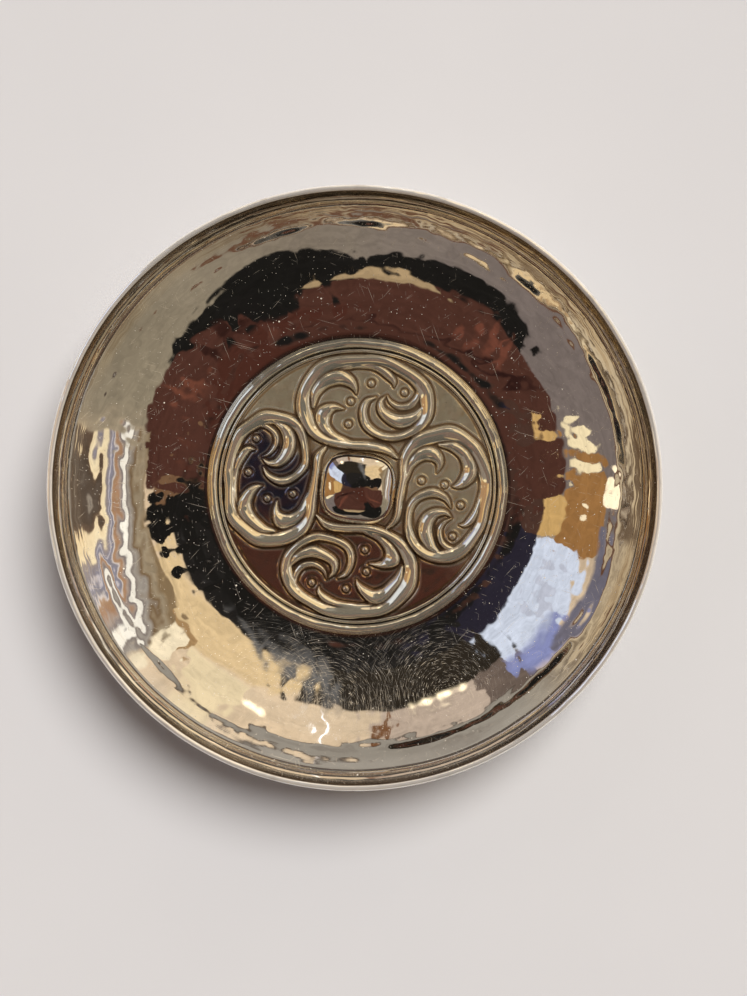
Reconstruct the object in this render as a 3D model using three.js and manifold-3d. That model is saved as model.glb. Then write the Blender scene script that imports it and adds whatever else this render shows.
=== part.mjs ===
// A small round silver dish: a hammered bowl with a half-round wire on its lip. A chased disc with
// four whorl roundels is set into the floor, with a domed, rounded-square boss in the middle.
// Millimetres, +Z up. The dish stands on Z = 0, and its axis is the Z axis.

import * as THREE from "three";
import { mergeVertices } from "three/addons/utils/BufferGeometryUtils.js";
import Module from "manifold-3d";

const wasm = await Module();
wasm.setup();

// Bowl
const DISH_DIAMETER = 110; // over the rim wire
const DISH_HEIGHT = 18.4; // from the table to the crest of the rim wire
const SHEET = 0.8; // thickness of the raised sheet
const FLOOR_MARGIN = 0.4; // flat floor left outside the border wire
const CURVE_REACH = 0.58; // share of the curve's run over which it leaves the floor almost flat
const FLARE_REACH = 0.172; // share of the curve's run over which it meets the flare almost straight
const FLARE_SLOPE = THREE.MathUtils.degToRad(48.8); // steepness of the straight flare
const FLARE_RUN = 3; // width of the flare, seen from above
const LIP_SLOPE = THREE.MathUtils.degToRad(77); // steepness of the turned-up lip at its edge
const LIP_RUN = 2.6; // width of the turned-up lip, seen from above
const LIP_BEND = 0.68; // share of the lip's width at which the slopes of its two ends meet

// Rim wire, half round, flat side down on the lip
const RIM_WIRE_WIDTH = 1.25;
const RIM_WIRE_HEIGHT = 0.75;

// Chased disc and the two wires round it
const PLATE_RADIUS = 26.4;
const PLATE_THICKNESS = 0.7;
const BORDER_WIRE_WIDTH = 2.2;
const BORDER_WIRE_HEIGHT = 1.7;
const BEAD_WIDTH = 0.75;
const BEAD_HEIGHT = 0.6;
const SOLDER_GAP = 0.08; // between the disc's edge and the wire that surrounds it

// Boss
const BOSS_WIDTH = 14.1; // across its flats
const BOSS_HEIGHT = 2.9;
const BOSS_SQUARENESS = 2.9; // exponent of the plan: 2 is a circle, and more is squarer
const BOSS_EDGE = 0.5; // height of the upright edge
const BOSS_CLEARANCE = 0.15; // between the boss and the relief beside it

// Relief
const ROUNDELS = 4;
const RELIEF_HEIGHT = 1.2; // crest of the broad strap above the disc's ground
const RELIEF_ROOT = 0.15; // depth to which a strap is rooted in the disc
const BEAD_CLEARANCE = 0.05; // between the relief and the bead
const DRAWN_REACH = 25.35; // radius of the circle inside which the roundel below is drawn
const PELLET_RADIUS = 0.68;
const PELLET_HEIGHT = 0.5;

// How round shapes are faceted
const ROUND_SIDES = 72;
const BOSS_SIDES = 48;
const CURVE_STEPS = 5;
const LIP_STEPS = 3;

// Each strap of a roundel: its centre line, tip to tip, in the roundel's own frame. u runs to the
// right and v away from the centre of the dish. The third number is half the strap's width there.
// lean moves the crest towards the left of the direction of travel, as a share of half the width.
const STRAPS = [
  {
    // broad hoop, which winds on inside itself and ends in the inner comma
    height: 1,
    lean: 0.4,
    steps: 54,
    line: [
      [7.1, 6.3, 0.25],
      [5.1, 7.7, 0.75],
      [1.6, 8.15, 0.9],
      [-2.4, 8.1, 0.95],
      [-6.3, 8.25, 1.1],
      [-9.7, 10.3, 1.35],
      [-11.6, 13.9, 1.55],
      [-11.4, 17.8, 1.6],
      [-9.4, 21.1, 1.5],
      [-5.6, 23.3, 1.35],
      [-0.8, 24.1, 1.25],
      [4.2, 23.7, 1.2],
      [8.4, 21.9, 1.3],
      [11.0, 18.7, 1.45],
      [11.4, 15.2, 1.3],
      [9.8, 12.1, 1.05],
      [6.6, 10.3, 0.85],
      [3.2, 10.4, 0.8],
      [0.6, 12.0, 0.85],
      [-0.4, 14.4, 0.85],
      [0.2, 16.5, 0.6],
      [1.8, 17.5, 0.12],
    ],
  },
  {
    // lower claw
    height: 0.8,
    lean: 0.3,
    steps: 11,
    line: [
      [-2.2, 8.7, 0.35],
      [-5.4, 9.3, 0.75],
      [-7.6, 11.2, 1.1],
      [-8.0, 13.2, 1.35],
      [-6.4, 14.5, 0.65],
      [-4.4, 14.5, 0.12],
    ],
  },
  {
    // upper claw
    height: 0.9,
    lean: 0.3,
    steps: 12,
    line: [
      [-9.9, 14.4, 0.3],
      [-9.5, 17.1, 0.9],
      [-7.9, 19.4, 1.25],
      [-5.4, 20.5, 1.35],
      [-3.4, 20.0, 1.0],
      [-2.4, 18.9, 0.55],
      [-2.0, 17.9, 0.12],
    ],
  },
  {
    // claw that hangs from the top of the hoop
    height: 0.75,
    lean: 0.2,
    steps: 11,
    line: [
      [-5.6, 22.0, 0.3],
      [-2.0, 23.0, 0.5],
      [1.2, 22.8, 0.65],
      [3.6, 21.8, 0.85],
      [4.8, 20.7, 0.55],
      [5.0, 19.7, 0.12],
    ],
  },
  {
    // thin curl round the uppermost pellet
    height: 0.6,
    lean: 0,
    steps: 16,
    line: [
      [5.4, 22.7, 0.3],
      [7.4, 22.3, 0.5],
      [9.2, 20.7, 0.5],
      [9.7, 18.4, 0.55],
      [8.5, 16.4, 0.6],
      [6.4, 15.9, 0.55],
      [4.7, 16.7, 0.4],
      [3.9, 17.9, 0.12],
    ],
  },
  {
    // outer comma
    height: 0.85,
    lean: 0.3,
    steps: 13,
    line: [
      [10.6, 17.0, 0.25],
      [9.0, 14.9, 0.75],
      [6.8, 13.6, 0.95],
      [4.6, 13.7, 0.95],
      [2.9, 14.9, 0.8],
      [2.6, 16.4, 0.55],
      [3.4, 17.7, 0.12],
    ],
  },
];
const PELLETS = [
  [7.0, 19.0],
  [0.5, 20.1],
  [-3.1, 16.1],
  [-2.7, 11.8],
];

// Sizes that follow from those above
const dishRadius = DISH_DIAMETER / 2;
const lipLevel = DISH_HEIGHT - RIM_WIRE_HEIGHT;
const lipWidth = SHEET / Math.sin(LIP_SLOPE);
const lipInnerRadius = dishRadius - (RIM_WIRE_WIDTH + lipWidth) / 2;
const borderInnerRadius = PLATE_RADIUS + SOLDER_GAP;
const floorRadius = borderInnerRadius + BORDER_WIRE_WIDTH + FLOOR_MARGIN;
const groundLevel = SHEET + PLATE_THICKNESS;
const beadInnerRadius = PLATE_RADIUS - BEAD_WIDTH;
const reliefReach = beadInnerRadius - BEAD_CLEARANCE;

const v2 = (x, y) => new THREE.Vector2(x, y);

// Turns a closed outline of (radius, height) points about the Z axis.
function revolve(outline, sides = ROUND_SIDES) {
  return new THREE.LatheGeometry(outline, sides).rotateX(Math.PI / 2);
}

// A disc or short post about the Z axis.
function revolvedDisc(radius, low, high, sides = ROUND_SIDES) {
  return revolve([v2(0, low), v2(radius, low), v2(radius, high), v2(0, high)], sides);
}

// A half-round wire bent to a ring, flat side down.
function halfRoundRing(innerRadius, width, low, height, steps) {
  const middle = innerRadius + width / 2;
  const outline = [];
  for (let i = 0; i <= steps; i++) {
    const angle = (Math.PI * i) / steps;
    outline.push(v2(middle + (width / 2) * Math.cos(angle), low + height * Math.sin(angle)));
  }
  outline.push(outline[0].clone());
  return revolve(outline);
}

function solidOf(geometry) {
  const bare = new THREE.BufferGeometry();
  bare.setAttribute("position", geometry.getAttribute("position"));
  bare.setIndex(geometry.getIndex());
  const merged = mergeVertices(bare, 1e-4);
  return new wasm.Manifold(
    new wasm.Mesh({
      numProp: 3,
      vertProperties: merged.getAttribute("position").array,
      triVerts: new Uint32Array(merged.getIndex().array),
    }),
  );
}

function geometryOf(solid) {
  const mesh = solid.getMesh();
  const geometry = new THREE.BufferGeometry();
  geometry.setAttribute("position", new THREE.BufferAttribute(mesh.vertProperties, 3));
  geometry.setIndex(new THREE.BufferAttribute(mesh.triVerts, 1));
  geometry.computeVertexNormals();
  return geometry;
}

// The raised sheet: a flat floor, and a wall that curves up from it to a straight flare and a
// turned-up lip. The outer face lies one sheet thickness away from the inner one along its normals.
function bowlGeometry() {
  const lip = v2(lipInnerRadius, lipLevel);
  const bend = v2(lip.x - (1 - LIP_BEND) * LIP_RUN, 0);
  bend.y = lip.y - (lip.x - bend.x) * Math.tan(LIP_SLOPE);
  const flareTop = v2(lip.x - LIP_RUN, 0);
  flareTop.y = bend.y - (bend.x - flareTop.x) * Math.tan(FLARE_SLOPE);
  const flareFoot = v2(flareTop.x - FLARE_RUN, flareTop.y - FLARE_RUN * Math.tan(FLARE_SLOPE));
  const run = flareFoot.x - floorRadius;
  const reach = FLARE_REACH * run;
  const curve = new THREE.CubicBezierCurve(
    v2(floorRadius, SHEET),
    v2(floorRadius + CURVE_REACH * run, SHEET),
    v2(flareFoot.x - reach * Math.cos(FLARE_SLOPE), flareFoot.y - reach * Math.sin(FLARE_SLOPE)),
    flareFoot,
  );
  const turnUp = new THREE.QuadraticBezierCurve(flareTop, bend, lip);
  const innerFace = [];
  const outerFace = [];
  for (const [part, steps] of [
    [curve, CURVE_STEPS],
    [turnUp, LIP_STEPS],
  ]) {
    for (let i = 0; i <= steps; i++) {
      const point = part.getPoint(i / steps);
      const along = part.getTangent(i / steps);
      innerFace.push(point);
      outerFace.push(v2(point.x + SHEET * along.y, point.y - SHEET * along.x));
    }
  }
  outerFace.pop();
  outerFace.push(v2(lipInnerRadius + lipWidth, lipLevel));
  return revolve([v2(0, 0), ...outerFace, ...innerFace.reverse(), v2(0, SHEET)]);
}

// One strap of the relief: a rounded ridge lofted along its centre line, tapering with it.
function strapGeometry({ line, height, lean, steps }, scale) {
  const curve = new THREE.CatmullRomCurve3(
    line.map(([u, v, halfWidth]) => new THREE.Vector3(u, v, halfWidth)),
    false,
    "centripetal",
  );
  const flanks = [35, 70, 110, 145].map((degrees) => THREE.MathUtils.degToRad(degrees));
  const corners = flanks.length + 2;
  const positions = [];
  for (let i = 0; i <= steps; i++) {
    const point = curve.getPoint(i / steps);
    const along = curve.getTangent(i / steps);
    const length = Math.hypot(along.x, along.y);
    const left = v2(-along.y / length, along.x / length);
    const crest = RELIEF_HEIGHT * height * Math.min(1, point.z) ** 0.6;
    const section = [[-point.z, -RELIEF_ROOT]];
    for (const angle of flanks) {
      const across = lean * Math.sin(angle) ** 2 - Math.cos(angle);
      section.push([point.z * across, crest * Math.sin(angle)]);
    }
    section.push([point.z, -RELIEF_ROOT]);
    for (const [across, up] of section) {
      positions.push(
        scale * (point.x + left.x * across),
        scale * (point.y + left.y * across),
        groundLevel + up,
      );
    }
  }
  const index = [];
  for (let i = 0; i < steps; i++) {
    for (let k = 0; k < corners; k++) {
      const a = i * corners + k;
      const b = i * corners + ((k + 1) % corners);
      index.push(a, a + corners, b, b, a + corners, b + corners);
    }
  }
  const last = steps * corners;
  for (let k = 1; k < corners - 1; k++) {
    index.push(0, k, k + 1);
    index.push(last, last + k + 1, last + k);
  }
  const geometry = new THREE.BufferGeometry();
  geometry.setAttribute("position", new THREE.Float32BufferAttribute(positions, 3));
  geometry.setIndex(index);
  return geometry;
}

// A low round pellet that stands on the disc's ground.
function pelletGeometry(u, v) {
  const outline = [v2(0, -RELIEF_ROOT), v2(PELLET_RADIUS, -RELIEF_ROOT)];
  for (const degrees of [0, 40, 90]) {
    const angle = THREE.MathUtils.degToRad(degrees);
    outline.push(v2(PELLET_RADIUS * Math.cos(angle), PELLET_HEIGHT * Math.sin(angle)));
  }
  return revolve(outline, 10).translate(u, v, groundLevel);
}

// Squares the plan of a body of revolution: |x|^n + |y|^n is the same all round its edge.
function squarePlan(geometry, exponent) {
  const position = geometry.getAttribute("position");
  for (let i = 0; i < position.count; i++) {
    const angle = Math.atan2(position.getY(i), position.getX(i));
    const across = Math.abs(Math.cos(angle)) ** exponent + Math.abs(Math.sin(angle)) ** exponent;
    const stretch = across ** (-1 / exponent);
    position.setXY(i, position.getX(i) * stretch, position.getY(i) * stretch);
  }
  return geometry;
}

// The chased disc: a flat round plate with the four roundels standing on it. The relief stops short
// of the bead, and leaves room for the boss.
function medallionGeometry() {
  const scale = reliefReach / DRAWN_REACH;
  let roundel = null;
  for (const strap of STRAPS) {
    const solid = solidOf(strapGeometry(strap, scale));
    roundel = roundel ? roundel.add(solid) : solid;
  }
  for (const [u, v] of PELLETS) {
    roundel = roundel.add(solidOf(pelletGeometry(scale * u, scale * v)));
  }
  const high = groundLevel + 2 * RELIEF_HEIGHT;
  const reach = solidOf(revolvedDisc(reliefReach, 0, high));
  const bossRoom = solidOf(
    squarePlan(
      revolvedDisc(BOSS_WIDTH / 2 + BOSS_CLEARANCE, 0, high, BOSS_SIDES),
      BOSS_SQUARENESS,
    ),
  );
  roundel = roundel.intersect(reach).subtract(bossRoom);
  let medallion = solidOf(revolvedDisc(PLATE_RADIUS, SHEET, groundLevel));
  for (let i = 0; i < ROUNDELS; i++) {
    medallion = medallion.add(roundel.rotate([0, 0, (360 * i) / ROUNDELS]));
  }
  return geometryOf(medallion);
}

// The boss: an upright edge under a dome, which is the cap of a ball before its plan is squared.
function bossGeometry() {
  const half = BOSS_WIDTH / 2;
  const rise = BOSS_HEIGHT - BOSS_EDGE;
  const ball = (half ** 2 + rise ** 2) / (2 * rise);
  const outline = [v2(0, 0), v2(half, 0), v2(half, BOSS_EDGE)];
  for (const share of [0.84, 0.66, 0.46, 0.24, 0]) {
    const level = BOSS_HEIGHT - ball + Math.sqrt(ball ** 2 - (share * half) ** 2);
    outline.push(v2(share * half, level));
  }
  return squarePlan(revolve(outline, BOSS_SIDES), BOSS_SQUARENESS).translate(0, 0, groundLevel);
}

function silver(color, roughness) {
  return new THREE.MeshStandardMaterial({ color, roughness, metalness: 1 });
}

function piece(name, geometry, material) {
  const mesh = new THREE.Mesh(geometry, material);
  mesh.name = name;
  return mesh;
}

const dish = new THREE.Group();
dish.name = "trinket_dish";
dish.add(
  piece("bowl", bowlGeometry(), silver(0xb3a58f, 0.16)),
  piece(
    "rim_wire",
    halfRoundRing(dishRadius - RIM_WIRE_WIDTH, RIM_WIRE_WIDTH, lipLevel, RIM_WIRE_HEIGHT, 6),
    silver(0xe2d9c6, 0.14),
  ),
  piece(
    "border_outer_wire",
    halfRoundRing(borderInnerRadius, BORDER_WIRE_WIDTH, SHEET, BORDER_WIRE_HEIGHT, 6),
    silver(0xcbbd9e, 0.2),
  ),
  piece(
    "border_inner_wire",
    halfRoundRing(beadInnerRadius, BEAD_WIDTH, groundLevel, BEAD_HEIGHT, 4),
    silver(0xc2b193, 0.22),
  ),
  piece("medallion_plate", medallionGeometry(), silver(0xab9a80, 0.26)),
  piece("centre_boss", bossGeometry(), silver(0xd9ccb4, 0.1)),
);

export default dish;
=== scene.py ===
"""Trinket dish of hammered silver with a chased medallion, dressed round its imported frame.

Shapes are worked out in millimetres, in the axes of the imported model, and put into the
meshes in metres. Every surface is a function of two parameters, worked out on a grid.
"""
import logging
import math
from dataclasses import dataclass, field
from enum import Enum
from functools import reduce
from typing import Any, ClassVar, Optional, Union

import bpy
import numpy as np
from mathutils import Matrix, Vector


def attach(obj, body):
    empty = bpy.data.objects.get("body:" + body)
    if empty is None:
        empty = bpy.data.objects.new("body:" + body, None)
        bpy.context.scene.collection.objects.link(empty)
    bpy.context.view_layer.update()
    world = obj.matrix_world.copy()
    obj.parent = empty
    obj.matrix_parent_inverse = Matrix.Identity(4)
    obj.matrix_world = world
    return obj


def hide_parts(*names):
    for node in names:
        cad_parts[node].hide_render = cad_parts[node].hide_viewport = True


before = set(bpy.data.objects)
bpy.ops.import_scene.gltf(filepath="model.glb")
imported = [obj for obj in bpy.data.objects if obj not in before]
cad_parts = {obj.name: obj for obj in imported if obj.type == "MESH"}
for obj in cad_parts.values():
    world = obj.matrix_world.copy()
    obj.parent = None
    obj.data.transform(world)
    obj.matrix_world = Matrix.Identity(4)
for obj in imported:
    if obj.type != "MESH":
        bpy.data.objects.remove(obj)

LOG = logging.getLogger("trinket_dish")
BODY = "root"
METRES = 0.001
# Turn of the ornament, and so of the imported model's axes, against the camera's picture
ORNAMENT_TURN = math.radians(6.2)
# Where the shading of a wire or the boss breaks: at edges sharper than this
CREASE = math.radians(50.0)
# Where the dish's upright axis stands
AXIS = (0.0, 0.0)
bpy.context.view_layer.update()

Socket = bpy.types.NodeSocket
Pair = tuple[float, float]
Triple = tuple[float, float, float]
Colour = tuple[float, float, float, float]


class Slot(Enum):
    """Material slots of the record that the pieces take their finish from."""

    BOWL = "hammered_silver"
    WIRE = "wire_silver"
    DISC = "chased_silver"
    BOSS = "boss_silver"


# Shader arithmetic


class Signal:
    """One shader socket of a single number, which takes part in Python arithmetic."""

    def __init__(self, graph: "Graph", socket: Socket) -> None:
        """Keeps the socket and the graph that it belongs to."""
        self.graph = graph
        self.socket = socket

    def _math(self, operation: str, *terms: "Term") -> "Signal":
        """Adds one Math node over the given terms."""
        inputs = dict(enumerate(terms))
        return self.graph.signal("ShaderNodeMath", 0, {"operation": operation}, inputs)

    def __add__(self, other: "Term") -> "Signal":
        """Sum with a number or another signal."""
        return self._math("ADD", self, other)

    __radd__ = __add__

    def __sub__(self, other: "Term") -> "Signal":
        """This signal less the other."""
        return self._math("SUBTRACT", self, other)

    def __rsub__(self, other: "Term") -> "Signal":
        """The other less this signal."""
        return self._math("SUBTRACT", other, self)

    def __mul__(self, other: "Term") -> "Signal":
        """Product with a number or another signal."""
        return self._math("MULTIPLY", self, other)

    __rmul__ = __mul__

    def __truediv__(self, other: "Term") -> "Signal":
        """This signal divided by the other."""
        return self._math("DIVIDE", self, other)

    def __rtruediv__(self, other: "Term") -> "Signal":
        """The other divided by this signal."""
        return self._math("DIVIDE", other, self)

    def root(self) -> "Signal":
        """Square root."""
        return self._math("SQRT", self)

    def angle_to(self, other: "Term") -> "Signal":
        """Angle in radians of the arrow (other, self)."""
        return self._math("ARCTAN2", self, other)

    def arc_cosine(self) -> "Signal":
        """Angle in radians whose cosine this is."""
        return self._math("ARCCOSINE", self)

    def largest(self, other: "Term") -> "Signal":
        """The larger of the two."""
        return self._math("MAXIMUM", self, other)

    def smallest(self, other: "Term") -> "Signal":
        """The smaller of the two."""
        return self._math("MINIMUM", self, other)

    def rise(self, low: float, high: float) -> "Signal":
        """Smooth step from 0 where this is low to 1 where it is high.

        Args:
            low: value of this signal at which the step starts.
            high: value at which it ends, which may be the smaller of the two.

        Returns:
            The step, between 0 and 1.
        """
        if high < low:
            return 1 - self.rise(high, low)
        settings = {"interpolation_type": "SMOOTHSTEP"}
        return self.graph.signal("ShaderNodeMapRange", 0, settings, {0: self, 1: low, 2: high})


Term = Union[Signal, float]


class Graph:
    """One node tree, with the one method that adds nodes to it.

    Attributes:
        CORE: share of a fleck's radius within which it is full.
        THREAD: radius of the flecks that are drawn out into scratches, as a share of a cell.
        SCRATCH_WAYS: turn, in radians, and length of each direction of the scratches, as a
            share of the length asked for.
        ARC_RADIUS: distance from the centre at which rubbed arcs have the length asked for.
    """

    CORE = 0.4
    THREAD = 0.25
    SCRATCH_WAYS = ((0.0, 1.0), (1.1, 0.7), (2.2, 1.3))
    ARC_RADIUS = 10.0

    def __init__(self, tree: bpy.types.NodeTree) -> None:
        """Empties the tree."""
        self.tree = tree
        tree.nodes.clear()

    def add(
        self,
        kind: str,
        settings: Optional[dict[str, Any]] = None,
        inputs: Optional[dict[Union[str, int], Any]] = None,
    ) -> bpy.types.Node:
        """Adds a node, sets it up and fills its sockets.

        Args:
            kind: type of the node.
            settings: properties that are set first, with a ramp's colours under "stops".
            inputs: values, sockets or signals by the name or number of the input.

        Returns:
            The node.
        """
        node = self.tree.nodes.new(kind)
        for name, value in (settings or {}).items():
            if name == "stops":
                self._set_stops(node.color_ramp, value)
            else:
                setattr(node, name, value)
        for key, value in (inputs or {}).items():
            source = value.socket if isinstance(value, Signal) else value
            if isinstance(source, Socket):
                self.tree.links.new(source, node.inputs[key])
            else:
                node.inputs[key].default_value = source
        return node

    @staticmethod
    def _set_stops(ramp: bpy.types.ColorRamp, stops: list[tuple[float, Colour]]) -> None:
        """Puts the given colours on a ramp that starts with two.

        Args:
            ramp: the ramp.
            stops: place and colour of each stop.
        """
        while len(ramp.elements) < len(stops):
            ramp.elements.new(1.0)
        for element, (position, colour) in zip(ramp.elements, stops):
            element.position = position
            element.color = colour

    def signal(
        self,
        kind: str,
        output: Union[str, int],
        settings: Optional[dict[str, Any]] = None,
        inputs: Optional[dict[Union[str, int], Any]] = None,
    ) -> Signal:
        """Adds a node and returns one of its outputs as a signal."""
        return Signal(self, self.add(kind, settings, inputs).outputs[output])

    def attribute(self, name: str) -> Signal:
        """Number that the mesh carries at its points."""
        return self.signal("ShaderNodeAttribute", "Fac", {"attribute_name": name})

    def mix(self, factor: Term, first: Any, second: Any) -> Socket:
        """Mixes two colours.

        Args:
            factor: share of the second colour.
            first: colour, or socket of one.
            second: colour, or socket of one.

        Returns:
            Socket of the mixed colour.
        """
        inputs = {0: factor, 6: first, 7: second}
        return self.add("ShaderNodeMix", {"data_type": "RGBA"}, inputs).outputs[2]

    def scaled(self, vector: Socket, share: Term) -> Socket:
        """A place or colour multiplied by a number."""
        inputs = {0: vector, 3: share}
        return self.add("ShaderNodeVectorMath", {"operation": "SCALE"}, inputs).outputs[0]

    def surface(self, inputs: dict[str, Any]) -> None:
        """Ends the tree in one surface shader with the given inputs."""
        shader = self.add("ShaderNodeBsdfPrincipled", None, inputs)
        self.add("ShaderNodeOutputMaterial", None, {0: shader.outputs[0]})

    def place(self) -> Socket:
        """Place on the piece, in millimetres, from its Object coordinates."""
        return self.scaled(self.add("ShaderNodeTexCoord").outputs["Object"], 1.0 / METRES)

    def parts(self, place: Socket) -> tuple[Signal, Signal, Signal]:
        """The x, y and z of a place."""
        split = self.add("ShaderNodeSeparateXYZ", None, {0: place})
        return tuple(Signal(self, output) for output in split.outputs)

    def joined(self, x: Term, y: Term, z: Term = 0.0) -> Socket:
        """Place made of its x, y and z."""
        return self.add("ShaderNodeCombineXYZ", None, {0: x, 1: y, 2: z}).outputs[0]

    def turned(self, place: Socket, angle: float, stretch: Triple) -> Socket:
        """Turns a place about the upright axis, and then scales it along each axis.

        Args:
            place: place in millimetres.
            angle: turn in radians.
            stretch: scale along each axis.

        Returns:
            Socket of the new place.
        """
        spun = self.add("ShaderNodeMapping", None, {"Vector": place, "Rotation": (0, 0, angle)})
        inputs = {"Vector": spun.outputs[0], "Scale": stretch}
        return self.add("ShaderNodeMapping", None, inputs).outputs[0]

    def noise(self, place: Socket, size: float, detail: float = 3.0, rough: float = 0.5) -> Signal:
        """Cloudy noise about one half.

        Args:
            place: place in millimetres.
            size: size of its largest lumps, in millimetres.
            detail: number of finer layers.
            rough: strength of each finer layer against the one before.

        Returns:
            The noise.
        """
        inputs = {"Vector": place, "Scale": 1.0 / size, "Detail": detail, "Roughness": rough}
        return self.signal("ShaderNodeTexNoise", 0, None, inputs)

    def flecks(self, place: Socket, size: float, radius: float, share: float) -> Signal:
        """Small round flecks, one in some of the cells of a random pattern.

        A fleck is full within CORE of its radius. The cells that hold one are those whose
        random number lies near 1, and the last tenth of them fade.

        Args:
            place: place in millimetres, which may be stretched to draw lines.
            size: size of a cell.
            radius: radius of a fleck as a share of a cell.
            share: share of the cells that hold one.

        Returns:
            1 in a fleck and 0 outside.
        """
        cells = self.add("ShaderNodeTexVoronoi", None, {"Vector": place, "Scale": 1.0 / size})
        near = Signal(self, cells.outputs["Distance"])
        draw = self.signal("ShaderNodeSeparateColor", 0, None, {0: cells.outputs["Color"]})
        return near.rise(radius, self.CORE * radius) * draw.rise(1 - share, 1 - 0.9 * share)

    def scratches(
        self, place: Socket, length: float, width: float, share: float, turn: float
    ) -> Signal:
        """Fine straight scratches in three directions: flecks on a stretched place.

        Args:
            place: place in millimetres.
            length: length of a scratch.
            width: its width.
            share: share of the places that hold one.
            turn: turn of the first direction, in radians.

        Returns:
            1 in a scratch and 0 outside.
        """
        size = 2 * self.THREAD
        ways = []
        for more, reach in self.SCRATCH_WAYS:
            stretch = (size / (length * reach), size / width, self.THREAD)
            spun = self.turned(place, turn + more, stretch)
            ways.append(self.flecks(spun, 1.0, self.THREAD, share))
        return reduce(Signal.largest, ways)

    def polar(self, place: Socket, centre: Pair) -> tuple[Signal, Signal]:
        """Angle and distance of a place about an upright line.

        Args:
            place: place in millimetres.
            centre: where the line stands.

        Returns:
            The angle in radians and the distance in millimetres.
        """
        x, y = (part - middle for part, middle in zip(self.parts(place), centre))
        return y.angle_to(x), (x * x + y * y).root()

    def arcs(self, place: Socket, centre: Pair, length: float, width: float) -> Signal:
        """Short rubbed arcs round a centre: noise stretched along the circles.

        Args:
            place: place in millimetres.
            centre: centre of the arcs.
            length: length of an arc, in millimetres, at ARC_RADIUS from the centre.
            width: its width, in millimetres.

        Returns:
            The noise, about one half.
        """
        angle, distance = self.polar(place, centre)
        wander = self.noise(place, size=3.0, detail=1.0) * (2.0 * width)
        along = angle * (self.ARC_RADIUS / length)
        spot = self.joined(along, (distance + wander) * (1.0 / width))
        return self.noise(spot, size=1.0, detail=1.0)


@dataclass(frozen=True)
class Look:
    """What one finish feeds to its shader.

    Attributes:
        colour: colour of the surface.
        roughness: its roughness.
        metal: how much of a metal it is.
        height: relief, as a share of the depth.
        depth: depth of the relief in millimetres.
    """

    colour: Socket
    roughness: Signal
    metal: Signal
    height: Signal
    depth: float


@dataclass(frozen=True)
class SilverFinish:
    """Silver in general: a metal shader with its colour, roughness and relief from nodes.

    Attributes:
        slot: material slot of the record.
        bright: colour of the clean metal.
        tarnish: colour of the film in the hollows.
        gloss: roughness of the clean metal.
        wear: spread of the roughness.
    """

    slot: Slot
    bright: Colour = (0.93, 0.90, 0.84, 1.0)
    tarnish: Colour = (0.16, 0.105, 0.06, 1.0)
    gloss: float = 0.03
    wear: float = 0.03

    def look(self, graph: Graph, place: Socket) -> Look:
        """Lays out the finish; each finish has its own.

        Args:
            graph: graph of the material.
            place: place in millimetres.

        Returns:
            What feeds the shader.
        """
        raise NotImplementedError

    def material(self) -> bpy.types.Material:
        """Makes the material: the look, with its height turned into bumps.

        Returns:
            The material.
        """
        material = bpy.data.materials.new(self.slot.value)
        material.use_nodes = True
        graph = Graph(material.node_tree)
        look = self.look(graph, graph.place())
        relief = {"Strength": 1.0, "Distance": look.depth * METRES, "Height": look.height}
        bump = graph.add("ShaderNodeBump", None, relief)
        inputs = {"Base Color": look.colour, "Roughness": look.roughness}
        graph.surface({**inputs, "Metallic": look.metal, "Normal": bump.outputs[0]})
        return material


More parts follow.
